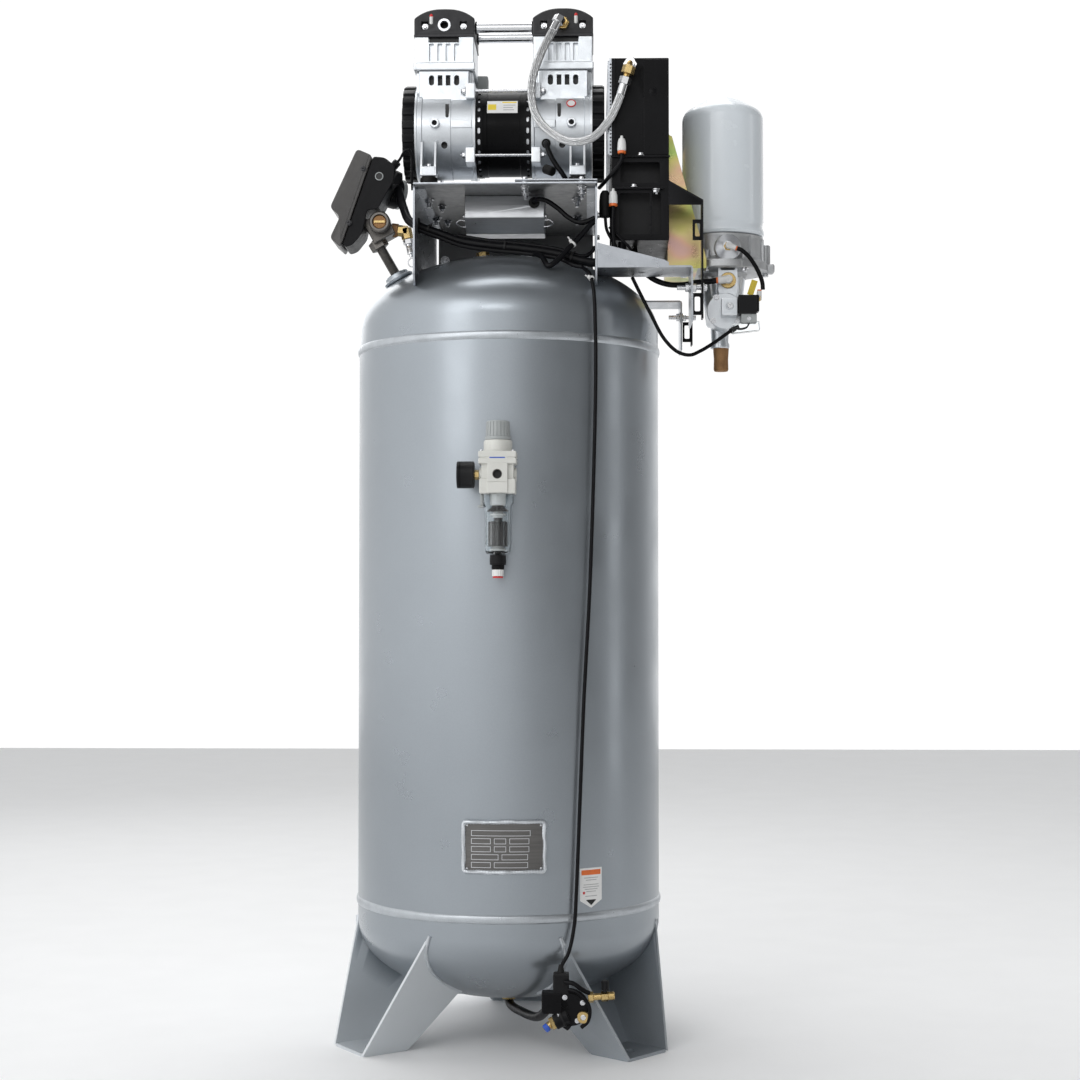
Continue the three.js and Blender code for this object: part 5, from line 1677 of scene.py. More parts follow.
def cooler():
    """Aftercooler: shroud with its fan guard, finned core and fan."""
    shell = brick(SX0, SX1, KY0, KY1, SZ0, SZ1, 2.4, 3)
    shell = cut(
        shell, block(SX0 - 12, SX1 - 2.2, KY0 + 2.2, KY1 - 2.2, SZ0 + 2.2, SZ1 - 2.2),
        rod((SX1 - 8, COOL_MID, FAN_Z), (SX1 + 8, COOL_MID, FAN_Z), 66, 96),
        rod((INLET_X, KY0 - 8, INLET_Z), (INLET_X, KY0 + 6, INLET_Z), 5, 24),
        prism(shifted(slot(2.6, 20), 221, 1578), "y", KY0 - 4, KY0 + 1),
    )
    fold = brick(226, SX1 - 1.5, KY0 - 1.2, KY0 + 1, SZ0 + 2, SZ1 - 3, 0.8, 3)
    hem = brick(SX0 - 0.4, SX0 + 8, KY0 - 1.4, KY0 + 1, SZ0 + 1, SZ1 - 1, 0.7)
    edge = brick(SX0 - 2, SX0 + 2, KY0 - 1.8, KY0 - 0.2, SZ0 + 1, SZ1 - 1, 0.4)
    # Dark dots along the front edge: painted shade of small holes.
    dots = [
        rod((SX0, KY0 - 1.9, SZ0 + 6 + 6 * i), (SX0, KY0 - 1.2, SZ0 + 6 + 6 * i), 1.5, 12)
        for i in range(int((SZ1 - SZ0) / 6) - 1)
    ]
    bump = lathe([[0, -1], [7, -1], [6, 1.2], [3.4, 2.4], [0, 2.6]], (241, KY0 - 1, 1551), -Y, 32)
    guard = [
        ring((SX1 - 0.4, COOL_MID, FAN_Z), (SX1 + 2.4, COOL_MID, FAN_Z), r - 1.2, r + 1.2, 96, 0.8)
        for r in (14, 25, 36, 47, 58, 68)
    ]
    for i in range(6):
        a = TAU * i / 6 + 0.3
        y, z = math.cos(a), math.sin(a)
        start = (SX1 + 1.4, COOL_MID + 10 * y, FAN_Z + 10 * z)
        end = (SX1 + 1.4, COOL_MID + 72 * y, FAN_Z + 72 * z)
        guard.append(rod(start, end, 1.5, 16))
    bolts = []
    for i in range(4):
        a = TAU * i / 4 + TAU / 8
        bolts.append(screw((SX1, COOL_MID + 73 * math.cos(a), FAN_Z + 73 * math.sin(a)), X, 3.6))
    elbow = hexagon((INLET_X, KY0 - 1, INLET_Z), (INLET_X, KY0 - 4.2, INLET_Z), 20, 0.8)
    make(
        "shroud",
        [
            (BLACK_PAINT, shell), (BLACK_PAINT, together(fold, hem)), (BLACK_PAINT, bump),
            (STEEL, edge), (SHADE_AND_INK, together(*dots)), (BOLT, together(*guard)), (BOLT, together(*bolts)),
            (CHROME, elbow),
        ],
        nodes=["cooler_shroud"],
    )

    fins, tubes = [], []
    count = 64
    for i in range(count):
        y = KY0 + 9 + i * (KY1 - KY0 - 18) / (count - 1)
        fins.append(block(168, 188.5, y - 0.35, y + 0.35, 1451, 1601.5))
    levels = [1462 + 21.5 * k for k in range(7)]
    for k, z in enumerate(levels):
        tubes.append(rod((178, KY0 + 5, z), (178, KY1 - 5, z), 4.2, 20))
        if k % 2 == 0 and k + 1 < len(levels):
            arc = []
            for t in range(13):
                a = math.pi * t / 12
                arc.append(Vector((178, KY1 - 14 + 9 * math.sin(a), z + 10.75 - 10.75 * math.cos(a))))
            tubes.append(sweep(arc, 4.2, 16))
    plates = []
    for y in (KY0 + 4, KY1 - 5.2):
        plate = brick(167.4, 189.6, y, y + 1.2, 1449.4, 1603.4, 0.4)
        holes = [rod((178, y - 2, z + 10.7), (178, y + 4, z + 10.7), 2.4, 16) for z in levels[:-1]]
        plates.append(cut(plate, *holes))
    for z0, z1 in ((1449, 1450.6), (1602, 1603.6)):
        plates.append(brick(167.4, 190, KY0 + 4, KY1 - 4, z0, z1, 0.4))
    motor_can = [rod((189, COOL_MID, FAN_Z), (206, COOL_MID, FAN_Z), 22, 64, 1.6)]
    for z in (FAN_Z - 14, FAN_Z + 14):
        motor_can.append(brick(188.6, 191, COOL_MID - 90, COOL_MID + 90, z - 4, z + 4, 0.5))
    make(
        "radiator",
        [
            (BARE, together(*fins)), (POLISHED, together(*tubes)), (STEEL, together(*plates)),
            (
                BLACK_PAINT,
                cut(join(*motor_can), rod((195, COOL_MID, FAN_Z), (210, COOL_MID, FAN_Z), 4.6, 24)),
            ),
        ],
        nodes=["cooler_core"],
    )

    hub = rod((211, COOL_MID, FAN_Z), (233, COOL_MID, FAN_Z), 20, 64, 2)
    blades = [hub, rod((198, COOL_MID, FAN_Z), (212, COOL_MID, FAN_Z), 4, 24)]
    for i in range(7):
        verts = []
        steps = 8
        for k in range(steps + 1):
            r = 16 + 40 * k / steps
            half = 10 + 6 * math.sin(math.pi * k / steps)
            pitch = 0.95 - 0.35 * k / steps
            for side in (-1, -0.33, 0.33, 1):
                camber = 2.2 * (1 - side * side)
                for off in (-0.8, 0.8):
                    u = side * half
                    x = 222 + u * math.cos(pitch) + (camber + off) * math.sin(pitch)
                    y = u * math.sin(pitch) - (camber + off) * math.cos(pitch)
                    verts.append(Vector((x, y, r)))
        turn = turned((0, COOL_MID, FAN_Z), TAU * i / 7, "X")
        blades.append(moved(skin(verts, [0, 2, 4, 6, 7, 5, 3, 1]), turn))
    make(
        "axial_fan", [(BLACK_PLASTIC, together(*blades))], "cooler_fan_body",
        ["cooler_fan"],
    )


cooler()


def hanger(y0, y1):
    """Sloping tab and hanging strip at one end of the lower frame, with its two loops."""
    x = STRIP_X
    strip_shape = prism(
        [
            [265, 1404], [265, 1407], [x + 1.5, 1374], [x + 1.5, 1181], [x - 1.5, 1181],
            [x - 1.5, 1371.5],
        ],
        "y", y0, y1,
    )
    loops = [block(x - 16, x, y0, y0 + 3, 1308, 1342), block(x - 16.5, x, y0, y0 + 3, 1186, 1222)]
    holes = [
        prism(
            rounded([(x - 12, 1314), (x - 4, 1314), (x - 4, 1336), (x - 12, 1336)], 2.5), "y", y0 - 1,
            y0 + 4,
        ),
        prism(
            rounded([(x - 13, 1192), (x - 4, 1192), (x - 4, 1216), (x - 13, 1216)], 2.5), "y", y0 - 1,
            y0 + 4,
        ),
    ]
    web = prism([[266, 1405], [x - 1, 1374], [x - 1, 1366], [266, 1366]], "y", y0, y0 + 2.5)
    return cut(join(strip_shape, web, *[bevelled(p, 0.8) for p in loops]), *holes)


def cooler_stand():
    """Lower frame of the aftercooler, with its air lines and relay boot."""
    y0, y1 = KY0, KY1
    low = 1308
    upper = rounded([(188, 1402), (252, 1402), (252, 1436), (188, 1436)], 4)
    lower = rounded([(186, 1318), (254, 1318), (254, 1386), (186, 1386)], 4)
    shell = cut(
        brick(174, 267, y0, y1, low, STAND_TOP, 1.6, 3),
        block(176.2, 264.8, y0 + 2.2, y1 - 2.2, low + 2.2, STAND_TOP - 2.2),
        block(170, 180, y0 + 20, y1 - 20, 1325, 1430), prism(upper, "y", y0 - 3, y0 + 4),
        prism(lower, "y", y0 - 3, y0 + 4),
    )
    ledge = brick(172, 268.5, y0 - 5, y0 + 2, STAND_TOP - 2.2, STAND_TOP + 0.2, 0.6)
    bar = brick(180, 258, y0 - 7, y0 + 1, 1391, 1394, 0.8)
    post = brick(236, 239, y0 - 1.4, y0 + 1, 1316, 1388, 0.5)
    inside = brick(178, 262, y0 + 26, y0 + 28, 1311, 1442, 0.4)
    bolts = [
        screw((221, y0 - 1.5, STAND_TOP + 0.2), Z, 4.4, socket=False),
        screw((210, y0 - 3, 1394), Z, 4.4, socket=False), nut((246, y0 - 3, 1391), -Z, 9, 3),
    ]
    parts = [
        (BLACK_PAINT, shell), (BLACK_PAINT, together(ledge, bar, post)), (BLACK_PLASTIC, inside),
        (BLACK_PAINT, hanger(y0, y0 + 24)), (BLACK_PAINT, hanger(y1 - 24, y1)),
        (BOLT, together(*bolts)),
    ]
    make("cooler_stand", parts, nodes=["cooler_frame"])

    routes = (
        [(190, 1452), (184, y0 - 9, 1428), (172, y0 - 4, 1414), (160, -146, 1404), (154, -124, 1402)],
        [(176, 1366), (175, y0 - 9, 1330), (178, y0 - 7, 1292), (182, y0 + 2, 1262.4)],
    )
    for i, ((x, z), *way) in enumerate(routes):
        base = Vector((x, y0 - 9, z))
        stem = [[0, 0], [6.6, 0.4], [7.2, 2], [6.6, 14], [5, 20], [2.6, 21], [2, 25], [0, 25.6]]
        body = [
            (WHITE_PLASTIC, lathe(stem, base, Z, 36)),
            (ORANGE, ring(base - Z * 4, base + Z * 0.4, 3.4, 6.8, 36, 0.8)),
            (CABLE, cable([base - Z, base - Z * 12, *way], 3.3)),
        ]
        make("air_line_%d" % (i + 1), body)
    boot = [[0, 0], [8, 0.5], [9.6, 4], [9.6, 26], [8.4, 38], [5, 44], [0, 45]]
    drop = [
        (163, -150, 1352), (166, -154, 1326), (180, -156, 1300), (196, -150, 1270), (204, -140, 1263),
    ]
    stray = [(170, -158, 1330), (186, -166, 1312), (206, -166, 1290), (216, -160, 1263)]
    make(
        "relay_boot",
        [
            (RUBBER, lathe(boot, (163, -146, 1348), Z, 40)),
            (CABLE, together(cable(drop, 2.6), cable(stray, 2.2))),
        ],
    )


cooler_stand()


def arm(name, y0, y1, gusset_y, bolt_y):
    """Bracket from the platform out to a hanging strip."""
    x0 = span(name)[0]
    end_x = 304
    corner = 5
    profile = [
        [x0, ARM_Z], [end_x - SHEET, ARM_Z], [end_x - SHEET, 1172], [end_x, 1172],
        [end_x, ARM_TOP - corner], [end_x - 1.4, ARM_TOP - 1.4], [end_x - corner, ARM_TOP],
        [x0 + SHEET, ARM_TOP], [x0 + SHEET, ARM_Z + 40], [x0, ARM_Z + 40],
    ]
    plate = prism(profile, "y", y0, y1)
    tip = [
        block(end_x - 8, end_x + 4, y0 - 1, y0 + 4, 1160, ARM_Z - 8),
        block(end_x - 8, end_x + 4, y1 - 4, y1 + 1, 1160, ARM_Z - 8),
    ]
    gusset = prism(
        [
            [x0 + 1, ARM_Z + 1], [265, ARM_Z + 1], [265, ARM_Z + 8], [258, ARM_Z + 12],
            [x0 + 1, ARM_Z + 40],
        ],
        "y", gusset_y, gusset_y + SHEET,
    )
    hole = prism(shifted(slot(22, 9), 222, (y0 + y1) / 2), "z", ARM_Z - 3, ARM_TOP + 3)
    shell = cut(join(plate, gusset), *tip, dome_space(), LOOM_OUT, hole)
    far = STRIP_X - 1.8
    bolts = [
        rod((280, bolt_y, 1232), (far + 6, bolt_y, 1232), 3.8, 24, 0.6),
        nut((end_x + 0.2, bolt_y, 1232), X, 12, 0), nut((end_x - SHEET - 0.2, bolt_y, 1232), -X, 12, 0),
        screw((far + 3.6, bolt_y, 1232), X, 5.4),
    ]
    for y in ((y0 + y1) / 2 - 26, (y0 + y1) / 2 + 26):
        bolts.append(screw((x0 + SHEET, y, ARM_Z + 22), X, 5))
    make(
        name + "_bracket",
        [(STEEL, bevelled(shell, 0.6, 2, 40)), (BOLT, together(*bolts))], nodes=[name],
    )


arm("arm_front", PY0, PY0 + 96, PY0, KY0 + 12)
arm("arm_rear", PY1 - 86, PY1, PY1 - SHEET, KY1 - 12)


# ------------------------------------------------------------------- dryer
bx0, bx1, by0, by1, SHELF_Z, BRACKET_TOP = span("dryer_bracket")
cx0, cx1, cy0, cy1, CART_LOW, _ = span("dryer_cartridge")
DRY = Vector(((cx0 + cx1) / 2, (cy0 + cy1) / 2, 0))


def dryer():
    """Dryer: bracket, cartridge, base, purge valve and its coil."""
    at = lambda x, y, z: Vector((DRY.x + x, DRY.y + y, z))
    side = [[bx0, SHELF_Z], [bx1, SHELF_Z], [bx1, 1292], [275, BRACKET_TOP - 4], [bx0, BRACKET_TOP]]
    window = rounded([(278, 1300), (312, 1300), (288, 1396), (278, 1396)], 5)
    holes = [rod((bx0 - 2, y, z), (bx0 + 6, y, z), 5, 32) for y in (-55, 55) for z in (1420, 1478)]
    sheets = [
        cut(brick(bx0, bx0 + 3, by0, by1, SHELF_Z, BRACKET_TOP, 0.7), *holes),
        bevelled(prism(side, "y", by0, by0 + 2.5), 0.6),
        cut(bevelled(prism(side, "y", by1 - 2.5, by1), 0.6), prism(window, "y", by1 - 6, by1 + 4)),
        brick(bx0, 318, by0, by1, SHELF_Z, SHELF_Z + 2.5, 0.6),
    ]
    bolts = []
    for y in (-55, 55):
        for z in (1340, 1405):
            bolts.append(screw((bx0 + 3, y, z), X, 5))
    make(
        "dryer_mount", [(ZINC, join(*sheets)), (BOLT, together(*bolts))],
        nodes=["dryer_bracket"],
    )

    r = 69
    can = [
        [20, 0], [62, 0], [67.5, 2], [70, 6.5], [69.6, 11], [67.4, 16], [67, 20], [68, 24], [69, 28],
        [69, 200],
    ]
    for i in range(1, 13):
        t = i / 12 * math.pi / 3
        can.append([r - 17 * (1 - math.cos(t)), 200 + 22 * math.sin(t)])
    can += [[52, 224.4], [44, 229.2], [34, 234.5], [22, 239.6], [11, 243.3], [5, 244.6], [0, 245]]
    inside = [[0, 241], [20, 238], [40, 224], [56, 216], [65, 200], [65, 6], [20, 6], [20, 0]]
    shell = lathe(can + inside, at(0, 0, CART_LOW), sides=144)
    seal = ring(at(0, 0, CART_LOW - 0.2), at(0, 0, CART_LOW + 1.6), 55, 64, 72, 0.4)
    make("cartridge", [(ENAMEL, shell), (RUBBER, seal)], nodes=["dryer_cartridge"])

    base = lathe(
        [
            [0, 1270], [40, 1270], [42, 1276], [48, 1278], [74, 1279], [76, 1281], [76, 1292],
            [74, 1294], [70, 1296], [67, 1300], [66.4, 1330], [68, 1334], [68, 1337.4], [0, 1337.4],
        ],
        at(0, 0, 0), sides=128,
    )
    solids = [base]
    lugs = []
    for i, angle in enumerate((0, 62, 118, 180, 242, 298)):
        turn = turned(at(0, 0, 0), math.radians(angle), "Z")
        if i == 0:
            lug = join(
                brick(60, 87, -13, 13, 1279, 1294, 4, 3),
                rod((72, 0, 1292), (72, 0, 1327), 8.5, 40, 1.6), brick(56, 72, -6, 6, 1292, 1322, 2, 2),
            )
        else:
            lug = join(
                brick(58, 80 if angle in (180,) else 76, -11, 11, 1280, 1293, 3, 3),
                rod((66, 0, 1290), (66, 0, 1310), 7, 32, 1.4),
            )
        solids.append(moved(lug, turn))
        bolt = screw((72 if i == 0 else 67, 0, 1279.6), -Z, 5.2, socket=False)
        lugs.append(moved(bolt, turn))
    for i in range(10):
        angle = math.radians(20 + 36 * i)
        rib = brick(60, 70.5, -1.6, 1.6, 1294, 1334, 0.8)
        solids.append(moved(rib, turned(at(0, 0, 0), angle, "Z")))
    plug = Vector((DRY.x + 3, -74, 1312))
    boss = rod(plug + Y * 2.0, plug + Y * 20, 22.5, 64, 1)
    cap = [
        (
            BARE,
            lathe(
                [[0, 0], [21.4, 0], [21.4, 2.4], [20.6, 3.2], [9.4, 8.6], [8.6, 9.4], [0, 9.4]],
                plug + Y * 2.4, -Y, 96,
            ),
        ),
        (BRASS, hexagon(plug - Y * 4.4, plug - Y * 8, 13, 0.6)),
    ]
    elbow, mouth = push_fitting(plug - Y * 7, -Y, (0.93, -0.1, -0.36), 5.6)
    tube_end = Vector((DRY.x + 61, -76, 1240))
    line = [
        mouth, mouth + Vector((8, -1, -3)), Vector((DRY.x + 36, -90, 1294)),
        Vector((DRY.x + 52, -86, 1270)), tube_end + Vector((-1, -1, 12)), tube_end,
    ]
    small, _ = push_fitting(tube_end + Vector((-14, 0, -14)), X, (0.05, 0, 1), 5)
    make(
        "dryer_body",
        [
            (BASE_CAST, join(*solids, boss)), (BOLT, together(*lugs)), *cap, *elbow,
            (CABLE, cable(line, 3.6)), *small,
        ],
        nodes=["dryer_base"],
    )

    # Purge valve: conical body, round cap, U-shaped boss, square armature block and muffler.
    neck = at(-6, -4, 0)
    valve = join(
        lathe(
            [[0, 1189], [27, 1189], [29, 1192], [31, 1214], [37, 1264], [37, 1269.6], [0, 1269.6]],
            at(0, 0, 0), sides=96,
        ),
        lathe(
            [[0, -8], [29, -8], [30.6, -9.4], [30.6, -60.6], [29.4, -62], [0, -62]], at(-1, 0, 1207),
            (0, 1, 0), 96,
        ),
        lathe(
            [
                [0, 1150.6], [15.4, 1150.6], [16.4, 1152], [16.4, 1158], [14.6, 1161], [15.4, 1180],
                [15.4, 1204], [0, 1204],
            ],
            neck, sides=72,
        ),
        prism(
            shifted(
                rounded([(-16, 42), (-16, -2), (-13, -13), (0, -18), (13, -13), (16, -2), (16, 42)], 4),
                DRY.x + 4, 1243,
            ),
            "y", -61, -10,
        ),
    )
    pocket = rounded([(-12, -2.8), (12, -2.8), (12, 2.8), (-12, 2.8)], 2.4)
    valve = cut(valve, prism(shifted(pocket, DRY.x + 4, 1278.4), "y", -64, -40))
    ribs = []
    for x in (-20, 24):
        ribs.append(prism(
            [
                [DRY.x + x, 1228], [DRY.x + x + (8 if x > 0 else -8), 1268],
                [DRY.x + x + (2 if x > 0 else -2), 1268],
            ],
            "y", -40, -34,
        ))
    armature = join(
        brick(DRY.x - 8, DRY.x + 18, -88, -58, 1195.5, 1225, 1.6, 2),
        rod(at(5, -89.6, 1211), at(5, -80, 1211), 6.4, 32, 0.6),
    )
    screws = [
        screw(at(-15.5, -61.8, 1229), -Y, 3.8), screw(at(20.5, -61.8, 1189), -Y, 3.8),
        screw(at(5, -89.4, 1211), -Y, 4.4, washer=False), screw(at(-21, -61.8, 1190), -Y, 3.8),
    ]
    out, hose_mouth = push_fitting(at(4, -64, 1258), -Y, (-0.95, 0, -0.1), 7.4)
    out.append((BRASS, ring(at(4, -61, 1258), at(4, -65, 1258), 6, 13.5, 48, 1)))
    low_line = [
        hose_mouth, hose_mouth + Vector((-10, 0, -1.5)), Vector((STRIP_X - 6, -92, 1250)),
        Vector((292, -93, 1246)), Vector((266, -93, 1247)), Vector((240, -92, 1258)),
        Vector((220, -90, 1280)), Vector((212, -88, 1307.6)),
    ]
    tag = moved(brick(-5.2, 5.2, -0.35, 0.35, -13, 13, 0.2), turned(at(45, -60, 1246), 0.32, "Y"))
    bronze = lathe(
        [[0, 0], [11.2, 0], [12.6, 3], [12.2, 20], [13.2, 36], [13.2, 38.8], [0, 38.8]],
        (neck.x + 2, neck.y, 1112), Z, 56,
    )
    make(
        "valve_block",
        [
            (CAST, valve), (BASE_CAST, together(*ribs)), (CAST, armature), (BOLT, together(*screws)),
            (BRONZE, bronze), *out, (CABLE, cable(low_line, 4.6)), (YELLOW, tag),
            # Dark block at the back of the pocket: painted shade.
            (SHADE_AND_INK, block(DRY.x - 7, DRY.x + 15, -52, -51, 1275.4, 1281.4)),
        ],
        nodes=["purge_valve"],
    )
    coil = join(
        brick(DRY.x + 19, DRY.x + 50, -91.5, -63, 1198, 1229.6, 2.4, 3),
        brick(DRY.x + 48, DRY.x + 54, -89, -66, 1202, 1230, 1.6, 2),
    )
    plug_body = brick(DRY.x + 24, DRY.x + 50, -88, -65, 1183, 1198.6, 1.8, 2)
    tilt = turned(at(31, -76.5, 1176), -0.12, "Y")
    boot = moved(brick(-22, 24, -11.5, 11.5, -7.4, 8, 2, 2), tilt)
    wires = []
    for k, y in enumerate((-82, -76.5, -71)):
        strand = [(14, -78.5 + 2 * k, 1175), (24, y, 1174), (34, y, 1177), (38, y, 1184)]
        wires.append(cable([(DRY.x + a, b, c) for a, b, c in strand], 1.3, 10))
    make(
        "coil",
        [
            (BLACK_PLASTIC, coil), (GREY_PLASTIC, plug_body), (CLEAR, boot), (CABLE, together(*wires)),
            (BOLT, screw(at(37, -88.4, 1190), -Y, 2.4)),
            (BRASS, hexagon(at(53.6, -76, 1226), at(57, -76, 1226), 9, 0.5)),
        ],
        nodes=["solenoid_coil"],
    )


dryer()


# --------------------------------------------------------- pressure switch
WY0, WY1 = span("switch_cover")[2:4]


def pressure_switch():
    """Pressure switch on its nipple, with the safety valve and its pull ring."""
    cover = [
        [-249, 1474], [-223, 1462.6], [-273.4, 1316.4], [-277, 1310], [-294, 1325], [-277, 1361],
        [-294, 1376],
    ]
    cover = rounded(cover, 7, 4)
    base = [
        [-222.5, 1462], [-203, 1460], [-186, 1446], [-188, 1420], [-200, 1400], [-214, 1374],
        [-232, 1372], [-240, 1334], [-256, 1314], [-268.5, 1310], [-273, 1316],
    ]
    groove = prism(
        [[-226, 1464], [-228.4, 1464.8], [-276, 1325], [-273.6, 1324]], "y", WY0 - 2, WY0 + 1,
    )
    housing = bevelled(prism(cover, "y", WY0, WY1), 2.6, 3, 35)
    screws, holes = [], []
    for x, z in ((-262, 1350), (-238, 1440)):
        screws.append(screw((x, WY0 + 0.2, z), -Y, 3.2))
        holes.append(rod((x, WY0 - 2, z), (x, WY0 + 1.2, z), 4.2, 32))
    make(
        "switch_housing",
        [(DARK_PLASTIC, cut(housing, groove, *holes)), (BLACK_CAST, together(*screws))],
        nodes=["switch_cover"],
    )
    block_space = block(-20.3, 20.3, -22.3, 22.3, -20.3, 22.3)
    turn = turned((-214, -60, 1346), -0.5, "Y")
    body = cut(
        join(
            bevelled(prism(rounded(base, 5, 3), "y", WY0 + 4, WY1 - 4), 2.2, 3, 40),
            rod((-214, -30, 1420), (-190, -14, 1416), 26.6, 64, 2),
        ),
        moved(block_space, turn), rod((-212, -104, 1353), (-212, -60, 1353), 18.3, 48),
    )
    gland = [
        (GREY_PLASTIC, ring((-190, -14.3, 1416), (-184.5, -10.6, 1415), 18, 25.6, 64, 1)),
        (BLACK_PLASTIC, hexagon((-190, -84, 1432), (-181, -90, 1426), 20, 1)),
        (BLACK_PLASTIC, rod((-192, -70, 1450), (-184, -74, 1458), 7, 32, 1)),
        (GREY_PLASTIC, ring((-212, WY0 + 4, 1428), (-212, WY0 + 2.4, 1428), 5.6, 7, 40, 0.5)),
        # Dark disc inside the grey ring: painted shade of its hole.
        (SHADE_AND_INK, rod((-212, WY0 + 4, 1428), (-212, WY0 + 3.4, 1428), 5.8, 32)),
    ]
    tail = [
        (-186, -73, 1456), (-180, -76, 1462), (-172, -80, 1474), (-164, -84, 1476), (-160, -80, 1466),
        (-160, -76, 1440), (-159, -74, 1410),
    ]
    make(
        "switch_body", [(BLACK_PLASTIC, body), *gland, (CABLE, cable(tail, 2.2, 12))],
        nodes=["switch_base"],
    )

    foot, up = SWITCH_FOOT, SWITCH_UP
    thread = lambda d, a: 0.35 * math.sin(TAU * d / 1.8 + a)
    nipple = sweep(smooth([foot - up * 6, foot + up * 35, foot + up * 78], 0.6), 8.0, 20, thread)
    manifold = moved(brick(-20, 20, -22, 22, -20, 22, 3, 3), turn)
    plug = Vector((-212, -100, 1353))
    top = Vector((-168, -60, 1330))
    down = Vector((0.2, 0, -0.98)).normalized()
    make(
        "switch_fittings",
        [
            (IRON, nipple), (IRON, hexagon(foot + up * 60, foot + up * 76, 27, 1.6)), (IRON, manifold),
            (IRON, ring(plug + Y * 2, plug + Y * 30, 12.2, 17.8, 64, 2.4)),
            (BRONZE, rod(plug + Y * 5, plug + Y * 30, 12.4, 40, 2)),
            (
                BRASS,
                block(plug.x - 9, plug.x + 9, plug.y + 2.4, plug.y + 6, plug.z - 1.8, plug.z + 1.8),
            ),
            (BRONZE, hexagon((-196, -60, 1346), (-184, -60, 1344.6), 20, 1.2)),
            (BRASS, hexagon((-185, -60, 1344.8), (-168, -60, 1343), 17, 1.2)),
            (BRASS, hexagon(top - down * 19, top - down * 0.1, 17, 1.2)),
        ],
        nodes=["switch_manifold"],
    )
    spring = []
    for i in range(120):
        d = 12 + 11 * i / 119
        a = TAU * 5 * i / 119
        sidew = down.orthogonal().normalized()
        spring.append(top + down * d + 5.4 * (math.cos(a) * sidew + math.sin(a) * down.cross(sidew)))
    make(
        "relief_valve",
        [
            (CHROME, hexagon(top + down * 0.3, top + down * 9, 15.4, 1)),
            (CHROME, rod(top + down * 8.8, top + down * 12.6, 6.6, 40, 0.8)),
            (BRASS, rod(top + down * 12, top + down * 24, 4, 24)), (CHROME, sweep(spring, 0.8, 8)),
            (CHROME, rod(top + down * 23, top + down * 26, 6.2, 40, 0.8)),
            (CHROME, rod(top + down * 25.5, top + down * 31, 3.2, 24, 0.8)),
        ],
        nodes=["safety_valve"],
    )
    rx0, rx1, ry0, ry1, rz0, rz1 = span("safety_ring")
    middle = Vector(((rx0 + rx1) / 2, (ry0 + ry1) / 2, (rz0 + rz1) / 2))
    loop = circle(middle, X, Z, 7.4, 40)
    make(
        "pull_ring", [(CHROME, sweep(loop, 1.15, 12, closed=True))], "safety_ring_body",
        ["safety_ring"],
    )


pressure_switch()


# --------------------------------------------------------- automatic drain
def drain():
    """Automatic drain below the tank."""
    pipe = [
        (0, 0, 66), (0, 0, 50), (3, -9, 43), (26, -70, 42), (54, -150, 52), (72, -210, 78),
        (84, -240, 92),
    ]
    y0, y1 = -264, -236
    body = join(
        rod((108, y0 + 2, 88), (108, y1 - 1, 88), 25, 72, 2),
        rod((108, y0 + 8, 88), (108, y1 - 8, 88), 28, 72, 2), brick(62, 94, y0, y1, 80, 113, 3, 3),
        rod((108, -250, 60), (90, -250, 72), 10, 40, 1),
    )
    body = cut(body, rod((98, y0 - 1, 94), (98, y0 + 3, 94), 5, 32))
    arc = [
        (104, -262, 118), (116, -267, 116), (130, -268, 104), (137, -267, 88), (134, -266, 70),
        (124, -264, 60),
    ]
    side_tube = [(98, -262, 130), (112, -266, 128), (126, -264, 118), (136, -258, 112)]
    barrel = join(
        rod((104, -256, 76), (82, -257, 66), 12, 48, 1.6),
        rod((96, -256, 73), (92, -256.4, 71), 13.6, 48, 1),
    )
    top = join(
        brick(80, 105, -262, -238, 106, 141.8, 3, 3), brick(84, 101, -258, -242, 139, 142.4, 1, 2),
    )
    bolts = []
    for i in range(4):
        a = TAU * i / 4 + 0.5
        bolts.append(screw((108 + 20.5 * math.cos(a), y0 + 1.4, 88 + 20.5 * math.sin(a)), -Y, 2.8))
    valve_dir = Vector((0.998, 0.04, 0.06))
    start = Vector((134, -248, 103.4))
    brass = [
        hexagon(start, start + valve_dir * 9, 15, 1),
        rod(start + valve_dir * 8.5, start + valve_dir * 22, 5.4, 32, 0.8),
        hexagon(start + valve_dir * 21, start + valve_dir * 32, 14, 1),
        rod(start + valve_dir * 31, start + valve_dir * 42, 6.6, 32, 1.2),
        hexagon((84, -257, 67), (76, -258.5, 63), 19, 1.2),
        rod((77, -258, 64), (72, -260, 60), 6.4, 32, 0.8),
        ring((127, y0 - 4.6, 76), (127, y0 + 3, 76), 4.6, 9.4, 48, 0.8),
    ]
    lever = [
        rod((161, -247, 106), (161, -247, 116), 3, 24),
        lathe(
            [[0, 0], [5.4, 0], [6, 1.5], [6, 13], [4.6, 15], [0, 15.4]], (161, -247, 115), Z, 96,
            shape=lambda a, h: 1 - 0.1 * (math.cos(10 * a) > 0.4 and 1 < h < 14),
        ),
    ]
    make(
        "drain_valve",
        [
            (CABLE, sweep(smooth(pipe, 5), 7.4, 28)), (BLACK_PAINT, body), (BLACK_PLASTIC, top),
            (BOLT, together(*bolts)), (BRASS, together(*brass)),
            (BLACK_PLASTIC, together(*lever, barrel)),
            (CABLE, together(cable(arc, 3.2), cable(side_tube, 3.6))),
            (CHROME, hexagon((127, y0 - 4.4, 76), (127, y0 - 1, 76), 9, 0.8)),
            (BLUE, ring((72.5, -260, 60.4), (67, -262, 56.4), 3.4, 6.6, 32, 0.8)),
            (BRASS, hexagon((0, 0, 58), (0, 0, 50), 22, 1.2)),
        ],
        nodes=["auto_drain"],
    )


drain()


